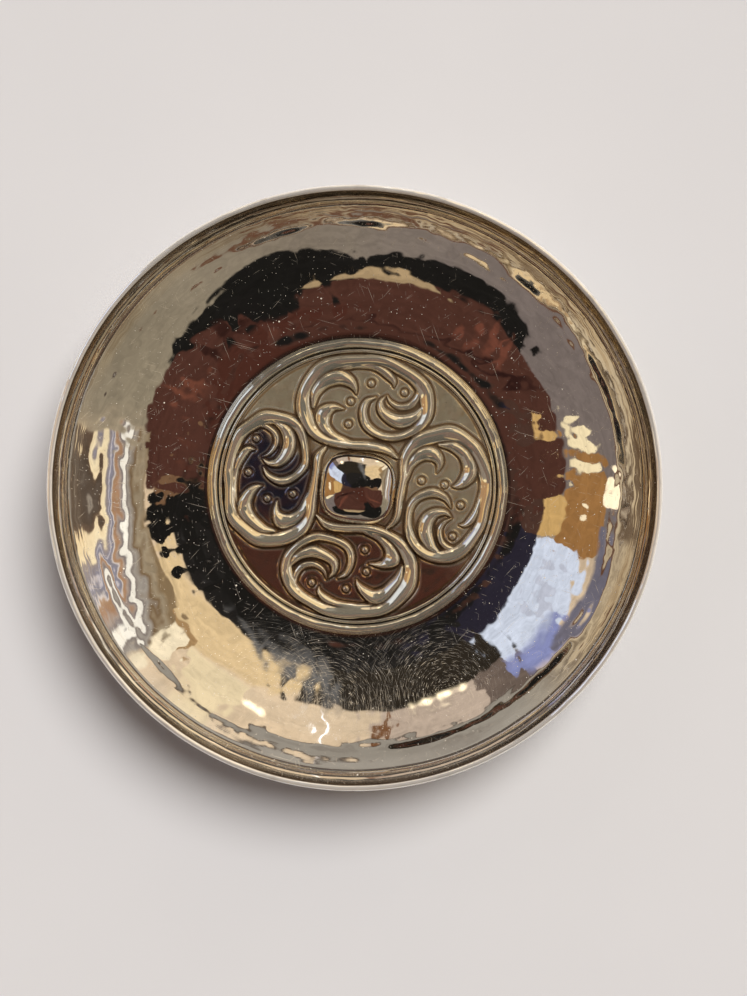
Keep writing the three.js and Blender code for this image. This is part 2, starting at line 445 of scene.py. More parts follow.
@dataclass(frozen=True)
class HammeredFinish(SilverFinish):
    """Bright planished silver: ripples, hairlines with painted glints, dust, and a thin warm film
    by the rim with a painted golden reflection.

    Attributes:
        lint: colour of dust.
        scratch_glint: colour of a hairline scratch, a painted glint of the light that it catches.
        gold: colour of the thin film near the rim, which also paints a golden reflection there.
        brown: colour of the thicker film there, in lines that are partly painted reflection.
        rubbed: centres of the arcs of painted glints on the lower floor, at the lamps'
            reflections.
        fading: distances from its centre at which an arc starts to show and is full.
        worn_glint_patch: middle and half sizes of the rubbed patch that the painted glints lie in.
        worn_glint_patch_edge: shares of its half sizes at which the patch ends and is full.
        upper: y where the film and its painted golden reflection near the rim start to show, and
            where they are full.
    """

    lint: Colour = (0.92, 0.86, 0.74, 1.0)
    scratch_glint: Colour = (0.95, 0.80, 0.55, 1.0)
    gold: Colour = (0.88, 0.76, 0.56, 1.0)
    brown: Colour = (0.42, 0.28, 0.14, 1.0)
    rubbed: tuple[Pair, ...] = ((-13.7, -43.5), (-1.4, -43.2), (21.7, -36.9))
    fading: Pair = (22.0, 8.0)
    worn_glint_patch: tuple[float, float, float, float] = (3.0, -34.0, 27.0, 12.0)
    worn_glint_patch_edge: Pair = (1.25, 0.6)
    upper: Pair = (-42.0, -15.0)

    def look(self, graph: Graph, place: Socket) -> Look:
        """Lays out the planished wall.

        Args:
            graph: graph of the material.
            place: place in millimetres.

        Returns:
            What feeds the shader.
        """
        film = graph.noise(place, size=16.0, detail=4.0, rough=0.6)
        smudge = graph.noise(place, size=5.0, detail=4.0, rough=0.65)
        ripple = graph.noise(place, size=2.6, detail=1.0, rough=0.4)
        lines = graph.arcs(place, AXIS, length=4.0, width=0.5)
        patina_and_shade, rim = graph.attribute("patina_and_shade"), graph.attribute("rim")
        worn_glint_patch, dust = self.patch(graph, place), self.dust(graph, place)
        marks = self.marks(graph, place, worn_glint_patch)
        # Warm film near the rim, partly a painted golden reflection, full in the upper part of the
        # picture and fading towards its bottom.
        rim_film_and_reflection = rim * graph.parts(place)[1].rise(*self.upper)
        # Tarnish, and from the patina_and_shade attribute the film beside the border ring and the
        # painted shadow under the rim wire.
        stain_and_shade = film.rise(0.45, 0.75) * 0.10 + patina_and_shade * (0.6 + film * 0.5)
        colour = graph.mix(stain_and_shade.smallest(1.0), self.bright, self.tarnish)
        colour = graph.mix(rim_film_and_reflection * film.rise(0.2, 0.55) * 0.5, colour, self.gold)
        colour = graph.mix(rim_film_and_reflection * lines.rise(0.52, 0.62) * 0.35, colour, self.brown)
        # Painted glints: the scratches and the arcs round the lamps' reflections get a pale colour
        # that stands in for the light they catch.
        colour = graph.mix(marks * 0.7, colour, self.scratch_glint)
        colour = graph.mix(dust, colour, self.lint)
        roughness = self.gloss + smudge.rise(0.4, 0.8) * self.wear * (1 - rim) + marks * 0.25
        roughness = roughness + patina_and_shade * 0.2 + dust * 0.5 + worn_glint_patch * 0.02
        height = ripple * (1 - rim) + dust * 0.2 + lines * rim_film_and_reflection * 0.45
        metal = (1 - marks * 0.45 - rim * 0.06) * (1 - dust)
        return Look(colour, roughness, metal, height, depth=0.03)

    def dust(self, graph: Graph, place: Socket) -> Signal:
        """1 in a speck of dust and 0 outside, with the finest specks faint.

        Args:
            graph: graph of the material.
            place: place in millimetres.

        Returns:
            The dust, 0 to 1.
        """
        common = graph.flecks(place, size=1.0, radius=0.10, share=0.5)
        large = graph.flecks(place, size=3.4, radius=0.06, share=0.5)
        fine = graph.flecks(place, size=0.6, radius=0.17, share=0.4)
        return common.largest(large).largest(fine * 0.35)

    def marks(self, graph: Graph, place: Socket, worn_glint_patch: Signal) -> Signal:
        """Hairlines and longer scores, painted as glints, and the arcs of painted glints round the
        lamps' reflections in the worn_glint_patch, from 0 to 1.

        Args:
            graph: graph of the material.
            place: place in millimetres.
            worn_glint_patch: 1 in the rubbed patch that holds the painted glints.

        Returns:
            The marks, 0 to 1.
        """
        hairs = graph.scratches(place, length=1.7, width=0.08, share=0.10, turn=0.3)
        scores = graph.scratches(place, length=5.5, width=0.10, share=0.05, turn=1.1)
        # Painted glints: arcs round the reflections of the lamps, kept to the worn_glint_patch.
        arcs = reduce(Signal.largest, [self.arcs(graph, place, centre) for centre in self.rubbed])
        return (hairs * 0.5).largest(scores * 0.6).largest(arcs * worn_glint_patch)

    def arcs(self, graph: Graph, place: Socket, centre: Pair) -> Signal:
        """Painted glints: fine arcs round one reflection of a lamp, which fade out with the
        distance from it.
        """
        near = graph.polar(place, centre)[1].rise(*self.fading)
        return graph.arcs(place, centre, length=2.8, width=0.085).rise(0.60, 0.72) * near

    def patch(self, graph: Graph, place: Socket) -> Signal:
        """1 in the rubbed patch of the lower floor, where the painted glints lie, fading to 0
        outside its ellipse.

        Args:
            graph: graph of the material.
            place: place in millimetres.

        Returns:
            The patch, 0 to 1.
        """
        right, high, _ = graph.parts(place)
        x = (right - self.worn_glint_patch[0]) / self.worn_glint_patch[2]
        y = (high - self.worn_glint_patch[1]) / self.worn_glint_patch[3]
        return (x * x + y * y).root().rise(*self.worn_glint_patch_edge)


@dataclass(frozen=True)
class WireFinish(SilverFinish):
    """Drawn wire filed and rubbed along its length.

    Attributes:
        satin: how much of the light the rubbed surface scatters.
    """

    satin: float = 0.1

    def look(self, graph: Graph, place: Socket) -> Look:
        """Lays out the rubbed wire.

        Args:
            graph: graph of the material.
            place: place in millimetres.

        Returns:
            What feeds the shader.
        """
        film = graph.noise(place, size=5.0, detail=4.0, rough=0.65)
        ripple = graph.noise(place, size=1.9, detail=1.0, rough=0.5)
        rubs = graph.arcs(place, AXIS, length=0.9, width=0.3)
        nicks = graph.flecks(place, size=2.4, radius=0.08, share=0.25)
        # On the wires this attribute is painted shade at the feet of the flanks, mixed towards the
        # tarnish colour together with the nicks.
        patina_and_shade = graph.attribute("patina_and_shade")
        dark = (nicks * 0.5).largest(patina_and_shade * (0.65 + film * 0.5))
        colour = graph.mix(film.rise(0.52, 0.74) * 0.3, self.bright, self.tarnish)
        colour = graph.mix(dark.smallest(0.96), colour, self.tarnish)
        roughness = self.gloss + film * self.wear + rubs.rise(0.5, 0.8) * 0.05 + nicks * 0.2
        height = ripple + rubs * 0.12 - nicks * 0.4
        metal = 1 - (1 - patina_and_shade) * self.satin - film.rise(0.4, 0.8) * 0.06
        return Look(colour, roughness, metal, height, depth=0.02)


@dataclass(frozen=True)
class ChasedFinish(SilverFinish):
    """Chased silver: rubbed bright relief, and a ground with painted reflections on it.

    Attributes:
        amber: colour of the film in the margins beside the relief.
        palest_reflection: colour of the palest patches of the painted pale reflection.
        pale_reflection: colour of the painted pale reflection, thickest in the upper part.
        reddish_reflection: colour of the painted dark, reddish reflection on the lower part of the
            ground.
        dark_reflection: colour of the painted blue-black reflection at the left.
        satin: how much of the light the rubbed relief scatters.
        drift: how far the edges of the painted pale reflection and of the painted dark patch
            wander.
        slant: how steeply the edge of the painted pale reflection falls to the right.
        pale_reflection_edge: heights, in the middle, at which the painted pale reflection starts
            and is full.
        dark_reflection_x: place of the middle of the painted dark patch.
        dark_reflection_edge: distances from its middle at which it starts and is full.
    """

    satin: float = 0.07
    drift: float = 30.0
    slant: float = 0.4
    pale_reflection_edge: Pair = (-7.0, 8.0)
    dark_reflection_x: float = -15.5
    dark_reflection_edge: Pair = (9.5, 6.5)
    bright: Colour = (1.0, 0.93, 0.74, 1.0)
    amber: Colour = (0.58, 0.38, 0.17, 1.0)
    palest_reflection: Colour = (0.70, 0.62, 0.44, 1.0)
    pale_reflection: Colour = (0.52, 0.45, 0.31, 1.0)
    reddish_reflection: Colour = (0.46, 0.26, 0.19, 1.0)
    dark_reflection: Colour = (0.13, 0.13, 0.20, 1.0)

    def look(self, graph: Graph, place: Socket) -> Look:
        """Lays out the ornamented disc, from its patina and crest attributes.

        Args:
            graph: graph of the material.
            place: place in millimetres.

        Returns:
            What feeds the shader.
        """
        patina_and_shade, crest = graph.attribute("patina_and_shade"), graph.attribute("crest")
        cloud = graph.noise(place, size=3.0, detail=5.0, rough=0.65)
        grain = graph.noise(place, size=0.3, detail=2.0, rough=0.6)
        specks = graph.flecks(place, size=1.1, radius=0.13, share=0.3)
        # Painted reflections on the ground: pale above a slanting line, dark reddish below it, and
        # blue-black in a patch at the left.
        pale_reflected, dark_reflected = self.reflection_zones(graph, place)
        matt = 1 - crest
        ground = graph.mix(pale_reflected, self.reddish_reflection, self.pale_reflection)
        ground = graph.mix(pale_reflected * cloud.rise(0.46, 0.62) * 0.6, ground, self.palest_reflection)
        ground = graph.mix(patina_and_shade.rise(0.05, 0.30) * 0.7, ground, self.amber)
        ground = graph.mix(dark_reflected, ground, self.dark_reflection)
        film = patina_and_shade * (0.6 + cloud * 0.6) + matt * cloud.rise(0.5, 0.75) * 0.3
        colour = graph.mix(crest, ground, self.bright)
        colour = graph.mix(film.smallest(0.95), colour, self.tarnish)
        colour = graph.mix(specks * matt * 0.6, colour, self.tarnish)
        roughness = self.gloss + matt * 0.07 + pale_reflected * matt * 0.1 + cloud * self.wear
        roughness = roughness + patina_and_shade * 0.1
        height = grain * matt * 0.6 + cloud * 0.35
        metal = 0.94 - crest * self.satin - matt * pale_reflected * (1 - dark_reflected) * 0.22
        return Look(colour, roughness, metal, height, depth=0.02)

    def reflection_zones(self, graph: Graph, place: Socket) -> tuple[Signal, Signal]:
        """Painted reflections: a pale one above a slanting line and a dark one in a round patch,
        both with wandering edges.

        Args:
            graph: graph of the material.
            place: place in millimetres.

        Returns:
            1 where the pale reflection is painted, and 1 where the dark one is.
        """
        right, high, _ = graph.parts(place)
        drift = (graph.noise(place, size=8.0, detail=3.0, rough=0.6) - 0.5) * self.drift
        pale_reflected = (high + right * self.slant + drift).rise(*self.pale_reflection_edge)
        beside = right - self.dark_reflection_x
        distance = (beside * beside + high * high).root()
        return pale_reflected, (distance + drift * 0.4).rise(*self.dark_reflection_edge)


@dataclass(frozen=True)
class BossFinish(SilverFinish):
    """Mirror-bright silver with a few hairline scratches and specks of dust.

    Attributes:
        lint: colour of dust.
    """

    lint: Colour = (0.55, 0.5, 0.45, 1.0)

    def look(self, graph: Graph, place: Socket) -> Look:
        """Lays out the polished cushion.

        Args:
            graph: graph of the material.
            place: place in millimetres.

        Returns:
            What feeds the shader.
        """
        film = graph.noise(place, size=6.0, detail=3.0, rough=0.6)
        ripple = graph.noise(place, size=2.0, detail=2.0, rough=0.5)
        hairs = graph.scratches(place, length=2.0, width=0.1, share=0.2, turn=0.9)
        dust = graph.flecks(place, size=0.7, radius=0.1, share=0.5)
        colour = graph.mix(film.rise(0.5, 0.8) * 0.15, self.bright, self.tarnish)
        colour = graph.mix(dust * 0.5, colour, self.lint)
        roughness = self.gloss + film * self.wear + hairs * 0.12 + dust * 0.3
        height = ripple - hairs * 0.1 + dust * 0.4
        return Look(colour, roughness, 1 - dust * 0.5, height, depth=0.008)


# Shapes on grids


def smooth_step(value: np.ndarray, low: float, high: float) -> np.ndarray:
    """Cubic step 3t^2 - 2t^3 of the share t of the way from low to high."""
    share = np.clip((value - low) / (high - low), 0.0, 1.0)
    return share * share * (3.0 - 2.0 * share)


def bell(value: np.ndarray, middle: float, width: float) -> np.ndarray:
    """Bell curve exp(-((value - middle) / width)^2), which is 1 at its middle."""
    return np.exp(-(((value - middle) / width) ** 2))


def softened(values: np.ndarray, cells: float) -> np.ndarray:
    """Blurs a grid of heights: along each axis, a mean weighted by a bell curve.

    Args:
        values: heights on a grid of rows and columns.
        cells: width of the bell (its standard deviation) in cells.

    Returns:
        The blurred heights.
    """
    reach = int(3 * cells)
    taps = np.arange(-reach, reach + 1)
    weights = np.exp(-0.5 * (taps / cells) ** 2)
    weights /= weights.sum()
    result = values
    for axis in (0, 1):
        edged = np.pad(result, [(reach, reach) if a == axis else (0, 0) for a in (0, 1)], "edge")
        count = values.shape[axis]
        result = sum(
            weight * np.take(edged, np.arange(count) + k, axis=axis)
            for k, weight in enumerate(weights)
        )
    return result


@dataclass(frozen=True)
class Unevenness:
    """Gentle unevenness of hand work: a sum of slow sine waves in random directions.

    Attributes:
        height: usual height of the waves.
        shortest: shortest wave length.
        longest: longest wave length.
        seed: seed of their directions and phases.
        waves: number of waves.
    """

    height: float
    shortest: float
    longest: float
    seed: int
    waves: int = 14

    def at(self, points: np.ndarray) -> np.ndarray:
        """Height at each point: the sum of sin(wave vector . point + phase), scaled.

        Args:
            points: places, in two or three dimensions.

        Returns:
            One height for each.
        """
        draw = np.random.default_rng(self.seed)
        aims = draw.normal(size=(self.waves, points.shape[-1]))
        aims /= np.linalg.norm(aims, axis=1, keepdims=True)
        lengths = draw.uniform(self.shortest, self.longest, self.waves)
        phases = draw.uniform(0.0, 2 * np.pi, self.waves)
        angles = points @ (aims * (2 * np.pi / lengths[:, None])).T + phases
        return self.height * np.sin(angles).sum(axis=-1) / math.sqrt(self.waves / 2)


@dataclass(frozen=True)
class Planishing:
    """Rings of overlapping hammer blows.

    Attributes:
        spacing: distance between neighbouring blows.
        face: radius of the shallow hollow that a blow leaves.
        blend: height over which neighbouring hollows run into each other.
        seed: seed of the blows.
        jitter: how far a blow strays, as a share of the spacing.
        uneven: spread of the depths.
        FAINTEST: least sum that is taken the logarithm of.
    """

    FAINTEST: ClassVar[float] = 1e-300

    spacing: float
    face: float
    blend: float
    seed: int
    jitter: float = 0.3
    uneven: float = 0.012

    def blows(self, profile: np.ndarray) -> np.ndarray:
        """Places of the blows on a surface of revolution.

        Args:
            profile: radius and height along the surface, one row for each point.

        Returns:
            One row (x, y, z, depth) for each blow.
        """
        draw = np.random.default_rng(self.seed)
        steps = np.hypot(*np.diff(profile, axis=0).T)
        length = np.concatenate([[0.0], np.cumsum(steps)])
        rows = []
        for start in np.arange(-0.5, length[-1] / self.spacing + 0.5) * self.spacing:
            around = float(np.interp(start, length, profile[:, 0]))
            count = max(3, round(2 * np.pi * around / self.spacing))
            turns = np.arange(count) + draw.uniform(-self.jitter, self.jitter, count)
            angles = (turns / count) * 2 * np.pi + draw.uniform(0, 2 * np.pi)
            along = start + draw.uniform(-self.jitter, self.jitter, count) * self.spacing
            radius = np.interp(along, length, profile[:, 0])
            level = np.interp(along, length, profile[:, 1])
            depth = draw.uniform(-self.uneven, self.uneven, count)
            place = [radius * np.cos(angles), radius * np.sin(angles), level, depth]
            rows.append(np.stack(place, axis=1))
        return np.concatenate(rows)

    def at(self, points: np.ndarray, profile: np.ndarray) -> np.ndarray:
        """Height of the hammered surface above its smooth form, zero on average.

        Each blow leaves a paraboloid, distance squared over twice the face radius, and
        the surface is the smooth minimum of them all: -b ln(sum of exp(-height / b)).

        Args:
            points: places on the smooth surface.
            profile: radius and height along it.

        Returns:
            One height for each place.
        """
        total = np.zeros(points.shape[:-1])
        for x, y, z, depth in self.blows(profile):
            apart = ((points - (x, y, z)) ** 2).sum(axis=-1)
            total += np.exp(-(apart / (2 * self.face) + depth) / self.blend)
        relief = -self.blend * np.log(np.maximum(total, self.FAINTEST))
        return relief - relief.mean()


@dataclass(frozen=True)
class Oval:
    """How far the whole dish is out of round.

    Attributes:
        within: widening within the border ring, as a share of the radius.
        more: further widening at the rim.
        reach: radii between which it grows.
        widest: direction in which the dish is widest.
    """

    within: float = 0.006
    more: float = 0.0025
    reach: Pair = (28.0, 55.0)
    widest: float = ORNAMENT_TURN + math.radians(8.0)


OVAL = Oval()


def out_of_round(points: np.ndarray) -> np.ndarray:
    """Makes the dish a little wider one way, as the real one is.

    The radius is multiplied by 1 + e cos 2(angle - widest), where e grows smoothly from
    its value within the border ring to its value at the rim.

    Args:
        points: places on a round dish.

    Returns:
        The same places on this one.
    """
    angle = np.arctan2(points[..., 1], points[..., 0])
    radius = np.hypot(points[..., 0], points[..., 1])
    share = OVAL.within + OVAL.more * smooth_step(radius, *OVAL.reach)
    scale = 1.0 + share * np.cos(2 * (angle - OVAL.widest))
    return points * np.stack([scale, scale, np.ones_like(scale)], axis=-1)


def revolved(radius: np.ndarray, level: np.ndarray, sides: int) -> np.ndarray:
    """Points (r cos a, r sin a, z) of a profile turned round the upright axis.

    Args:
        radius: radius of each row, or of each point.
        level: height of each row, or of each point.
        sides: points round the axis.

    Returns:
        Points by row and column.
    """
    angle = np.arange(sides) * (2 * np.pi / sides)
    shape = (radius.shape[0], sides)
    columns = [
        radius.reshape(len(radius), -1) * np.cos(angle),
        radius.reshape(len(radius), -1) * np.sin(angle),
        np.broadcast_to(level.reshape(len(level), -1), shape),
    ]
    return np.stack(columns, axis=-1)


class Skin:
    """Vertices and faces of one closed piece, gathered grid by grid."""

    def __init__(self) -> None:
        """Starts empty."""
        self.points: list[np.ndarray] = []
        self.faces: list[np.ndarray] = []
        self.count = 0

    def add_points(self, points: np.ndarray) -> np.ndarray:
        """Adds points and returns their numbers, in the shape of the grid.

        Args:
            points: places, on a grid or in a row.

        Returns:
            Their numbers.
        """
        flat = points.reshape(-1, 3)
        numbers = np.arange(self.count, self.count + len(flat)).reshape(points.shape[:-1])
        self.points.append(flat)
        self.count += len(flat)
        return numbers

    def web(self, numbers: np.ndarray, rows_closed: bool, columns_closed: bool) -> None:
        """Joins the neighbouring points of a grid by quads.

        Args:
            numbers: numbers of the points, by row and column.
            rows_closed: whether the last row joins the first.
            columns_closed: whether the last column joins the first.
        """
        if rows_closed:
            numbers = np.concatenate([numbers, numbers[:1]])
        if columns_closed:
            numbers = np.concatenate([numbers, numbers[:, :1]], axis=1)
        corners = [numbers[:-1, :-1], numbers[:-1, 1:], numbers[1:, 1:], numbers[1:, :-1]]
        self.faces.append(np.stack(corners, axis=-1).reshape(-1, 4))

    def cap(self, ring: np.ndarray, middle: np.ndarray, after: bool) -> None:
        """Closes a ring of points by a fan to one point.

        Args:
            ring: numbers of the points of the ring.
            middle: place of the middle point.
            after: whether the fan follows the ring in the order of the rows.
        """
        centre = np.full(len(ring), self.add_points(middle.reshape(1, 3))[0])
        onward = np.roll(ring, -1)
        fan = [ring, onward, centre] if after else [onward, ring, centre]
        self.faces.append(np.stack(fan, axis=-1))

    def volume(self) -> float:
        """Signed volume: a sixth of the sum of the corners' triple products.

        Returns:
            The volume, negative if the faces point inwards.
        """
        points = np.concatenate(self.points)
        total = 0.0
        for faces in self.faces:
            first = points[faces[:, 0]]
            for k in range(1, faces.shape[1] - 1):
                cross = np.cross(points[faces[:, k]], points[faces[:, k + 1]])
                total += float((first * cross).sum()) / 6.0
        return total

    def piece(self, name: str, marks: Optional[dict[str, np.ndarray]] = None) -> bpy.types.Object:
        """Puts the gathered surface into a smooth-shaded mesh, facing outwards.

        Args:
            name: name of the piece.
            marks: numbers for the points, in their order, by attribute name.

        Returns:
            The object, at the origin.
        """
        turned = self.volume() < 0
        faces = [f[:, ::-1] if turned else f for f in self.faces]
        loops = np.concatenate([f.ravel() for f in faces]).astype(np.int32)
        sizes = np.concatenate([np.full(len(f), f.shape[1]) for f in faces])
        starts = np.concatenate([[0], np.cumsum(sizes)[:-1]]).astype(np.int32)
        mesh = bpy.data.meshes.new(name)
        mesh.vertices.add(self.count)
        mesh.vertices.foreach_set("co", (np.concatenate(self.points) * METRES).ravel())
        mesh.loops.add(len(loops))
        mesh.loops.foreach_set("vertex_index", loops)
        mesh.polygons.add(len(starts))
        mesh.polygons.foreach_set("loop_start", starts)
        mesh.update(calc_edges=True)
        mesh.validate()
        mesh.polygons.foreach_set("use_smooth", np.ones(len(mesh.polygons), dtype=bool))
        for title, values in (marks or {}).items():
            filled = np.zeros(self.count)
            filled[: values.size] = values.ravel()
            mesh.attributes.new(title, "FLOAT", "POINT").data.foreach_set("value", filled)
        made = bpy.data.objects.new(name, mesh)
        bpy.context.scene.collection.objects.link(made)
        return made


@dataclass
class SilverPiece:
    """One piece of the dish.

    Attributes:
        name: name of the piece.
        node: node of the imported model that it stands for.
        finish: its finish.
    """

    name: str
    node: str
    finish: SilverFinish

    def build(self) -> bpy.types.Object:
        """Builds the mesh; each piece has its own."""
        raise NotImplementedError

    def dress(self, piece: bpy.types.Object) -> None:
        """Gives the piece its finish and its body, and hides the node of the imported model that
        it stands for.

        Args:
            piece: the object.
        """
        piece.data.materials.append(self.finish.material())
        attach(piece, BODY)
        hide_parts(self.node)

    def make(self) -> None:
        """Builds and dresses the piece, and reports it."""
        piece = self.build()
        self.dress(piece)
        LOG.info("%s stands for %s: %d faces", piece.name, self.node, len(piece.data.polygons))


@dataclass
class HammeredBowl(SilverPiece):
    """Shallow bowl raised from one sheet, planished inside and out, with a flat foot.

    Attributes:
        sheet: thickness of the metal.
        lip_level: height of the lip's flat edge.
        lip_radius: inner radius of the lip.
        floor_radius: radius of the flat floor, inside and underneath.
        flare_slope: steepness of the straight flare below the lip.
        flare_run: width of the flare, seen from above.
        lip_slope: steepness of the turned-up lip at its edge.
        lip_run: width of the turned-up lip, seen from above.
        lip_bend: share of the lip's width at which the slopes of its two ends meet.
        set_down: step that the hammer leaves in the floor beside the border ring.
        floor_reach: share of the curve's run over which it leaves the floor almost flat.
        flare_reach: share of the curve's run over which it meets the flare almost straight.
        set_down_run: width of that step.
        set_down_end: distance beyond the floor at which the wall starts to make up for it.
        sides: points round the bowl.
        inner_rows: points up the inside of the wall.
        outer_rows: points down the outside of the wall.
        samples: points of each curve of the wall, before it is sampled evenly.
        floor_rings: radii of the points on the floor inside.
        foot_rings: radii of the points on the foot.
        prick: depth and radius of the small hollow in the middle of the foot.
        inner_blows: hammering of the inside.
        outer_blows: hammering of the outside.
        sway: slow unevenness of the wall.
        floor_fade: distances beyond the floor over which the hammering sets in, inside.
        foot_fade: heights over which it sets in, outside.
        flare_fade: heights over which it grows weaker on the flare.
        flare_calm: share of it that is lost there.
        lip_fade: distance below the lip over which it dies out.
        ring_film: radius and width of the dark line beside the border ring.
        lip_shadow: distances below the lip at which the painted shadow under the rim wire starts
            and is full.
        lip_shadow_darkness: how dark that painted shadow is, inside and outside.
        warm_film_and_reflection: heights at which the warm film of the upper wall, with its
            painted golden reflection, starts and is full.
    """

    sheet: float = 0.8
    lip_level: float = 17.65
    lip_radius: float = 53.965
    floor_radius: float = 29.08
    flare_slope: float = math.radians(46.7)
    flare_run: float = 2.5
    lip_slope: float = math.radians(79.0)
    lip_run: float = 2.0
    lip_bend: float = 0.68
    set_down: float = 0.16
    floor_reach: float = 0.548
    flare_reach: float = 0.235
    set_down_run: float = 1.1
    set_down_end: float = 4.0
    sides: int = 560
    inner_rows: int = 110
    outer_rows: int = 48
    samples: int = 1201
    floor_rings: tuple[float, ...] = (8.0, 16.0, 22.0, 26.0, 28.0)
    foot_rings: tuple[float, ...] = (28.2, 27.0, 25.0, 22.0, 18.0, 14.0, 10.0, 6.0, 3.0, 1.2, 0.5)
    prick: Pair = (0.12, 0.7)
    inner_blows: Planishing = Planishing(spacing=4.2, face=68.0, blend=0.012, seed=11)
    outer_blows: Planishing = Planishing(spacing=4.0, face=60.0, blend=0.010, seed=12)
    sway: Unevenness = Unevenness(height=0.085, shortest=13.0, longest=30.0, seed=13)
    floor_fade: Pair = (0.1, 3.5)
    foot_fade: Pair = (0.15, 1.2)
    flare_fade: Pair = (9.0, 10.5)
    flare_calm: float = 0.75
    lip_fade: float = 1.2
    ring_film: Pair = (28.7, 0.5)
    lip_shadow: Pair = (2.0, 0.6)
    lip_shadow_darkness: Pair = (0.9, 0.5)
    warm_film_and_reflection: Pair = (10.8, 12.2)

    def wall(self, rows: int) -> tuple[np.ndarray, np.ndarray]:
        """Inner face of the wall, sampled evenly by length.

        A cubic curve leaves the floor level and meets the straight flare, and a quadratic
        one turns from the flare up to the lip. Each is a mean of its ends and of its guide
        points, weighed by the terms of (1 - t) + t to the third or the second power. Beside
        the ring it is raised by the set-down times 1 - exp(-beyond / run), which the last
        part of the cubic takes back.

        Args:
            rows: number of points.

        Returns:
            Radius and height of each point, and the normal there towards the hollow.
        """
        flare, steep = math.tan(self.flare_slope), math.tan(self.lip_slope)
        lip = np.array([self.lip_radius, self.lip_level])
        bend = lip - (1 - self.lip_bend) * self.lip_run * np.array([1.0, steep])
        top = bend - self.lip_bend * self.lip_run * np.array([1.0, flare])
        foot = top - self.flare_run * np.array([1.0, flare])
        run = foot[0] - self.floor_radius
        start = np.array([self.floor_radius, self.sheet])
        level = start + (self.floor_reach * run, 0.0)
        slope = np.array([math.cos(self.flare_slope), math.sin(self.flare_slope)])
        aim = foot - self.flare_reach * run * slope
        t = np.linspace(0.0, 1.0, self.samples)[:, None]
        low = (1 - t) ** 3 * start + 3 * (1 - t) ** 2 * t * level
        low = low + 3 * (1 - t) * t**2 * aim + t**3 * foot
        high = (1 - t) ** 2 * top + 2 * (1 - t) * t * bend + t**2 * lip
        curve = np.concatenate([low, high])
        beyond = curve[:, 0] - self.floor_radius
        back = smooth_step(curve[:, 0], self.floor_radius + self.set_down_end, foot[0])
        curve[:, 1] += self.set_down * (1 - np.exp(-beyond / self.set_down_run))
        curve[:, 1] -= self.set_down * back
        length = np.concatenate([[0.0], np.cumsum(np.hypot(*np.diff(curve, axis=0).T))])
        even = np.linspace(0.0, length[-1], rows)
        points = np.stack([np.interp(even, length, curve[:, k]) for k in (0, 1)], axis=1)
        tangents = np.gradient(points, axis=0)
        tangents /= np.linalg.norm(tangents, axis=1, keepdims=True)
        return points, np.stack([-tangents[:, 1], tangents[:, 0]], axis=1)

    def hammered(
        self, profile: np.ndarray, normals: np.ndarray, blows: Planishing, inside: bool
    ) -> np.ndarray:
        """Turns a profile round the axis and moves it along its normals by the hammering.

        The slow unevenness bends the sheet, so that outside it has the other sign. All
        of it fades out towards the floor or the foot, on the flare and at the lip.

        Args:
            profile: radius and height of each row.
            normals: normal of each row, towards the air.
            blows: hammer blows on this side.
            inside: whether this is the inside of the bowl.

        Returns:
            Points by row and column.
        """
        smooth = revolved(profile[:, 0], profile[:, 1], self.sides)
        outward = revolved(normals[:, 0], normals[:, 1], self.sides)
        radius, level = profile[:, :1], profile[:, 1:]
        start, full = (self.floor_radius + distance for distance in self.floor_fade)
        fade = smooth_step(radius, start, full) if inside else smooth_step(level, *self.foot_fade)
        fade = fade * (1 - self.flare_calm * smooth_step(level, *self.flare_fade))
        fade = fade * (1 - smooth_step(level, self.lip_level - self.lip_fade, self.lip_level))
        move = blows.at(smooth, profile) + (1.0 if inside else -1.0) * self.sway.at(smooth)
        return smooth + outward * (move * fade)[..., None]

    def build(self) -> bpy.types.Object:
        """Builds the bowl from its inner pole over the lip to its outer pole.

        Returns:
            The object.
        """
        inner, inner_normals = self.wall(self.inner_rows)
        thin, thin_normals = self.wall(self.outer_rows)
        outer = (thin - thin_normals * self.sheet)[::-1]
        floor = np.array(self.floor_rings)
        rows = [
            revolved(floor, np.full(len(floor), self.sheet), self.sides),
            self.hammered(inner, inner_normals, self.inner_blows, inside=True),
            self.hammered(outer, -thin_normals[::-1], self.outer_blows, inside=False),
            self.underside(np.array(self.foot_rings)),
        ]
        grid = out_of_round(np.concatenate(rows))
        skin = Skin()
        numbers = skin.add_points(grid)
        skin.web(numbers, False, True)
        skin.cap(numbers[0], np.array([0.0, 0.0, self.sheet]), False)
        skin.cap(numbers[-1], np.array([0.0, 0.0, self.prick[0]]), True)
        # Band of the upper wall that takes the warm film and the painted golden reflection.
        warm = smooth_step(grid[..., 2], *self.warm_film_and_reflection)
        return skin.piece(self.name, {"patina_and_shade": self.patina_and_shade(grid), "rim": warm})

    def underside(self, radii: np.ndarray) -> np.ndarray:
        """Flat foot with the centre prick of a raised bowl, a hollow of bell section."""
        depth, width = self.prick
        return revolved(radii, depth * bell(radii, 0.0, width), self.sides)

    def patina_and_shade(self, grid: np.ndarray) -> np.ndarray:
        """Film beside the border ring, and painted shadow under the rim wire, 0 to 1 by point.

        Args:
            grid: points by row and column.

        Returns:
            The film and the painted shadow.
        """
        radius = np.hypot(grid[..., 0], grid[..., 1])
        inner = np.arange(len(grid))[:, None] < len(self.floor_rings) + self.inner_rows
        # Painted shadow under the rim wire, inside and outside the lip.
        start, full = (self.lip_level - distance for distance in self.lip_shadow)
        lip = smooth_step(grid[..., 2], start, full)
        inside, outside = (lip * darkness for darkness in self.lip_shadow_darkness)
        return np.where(inner, np.maximum(bell(radius, *self.ring_film), inside), outside)


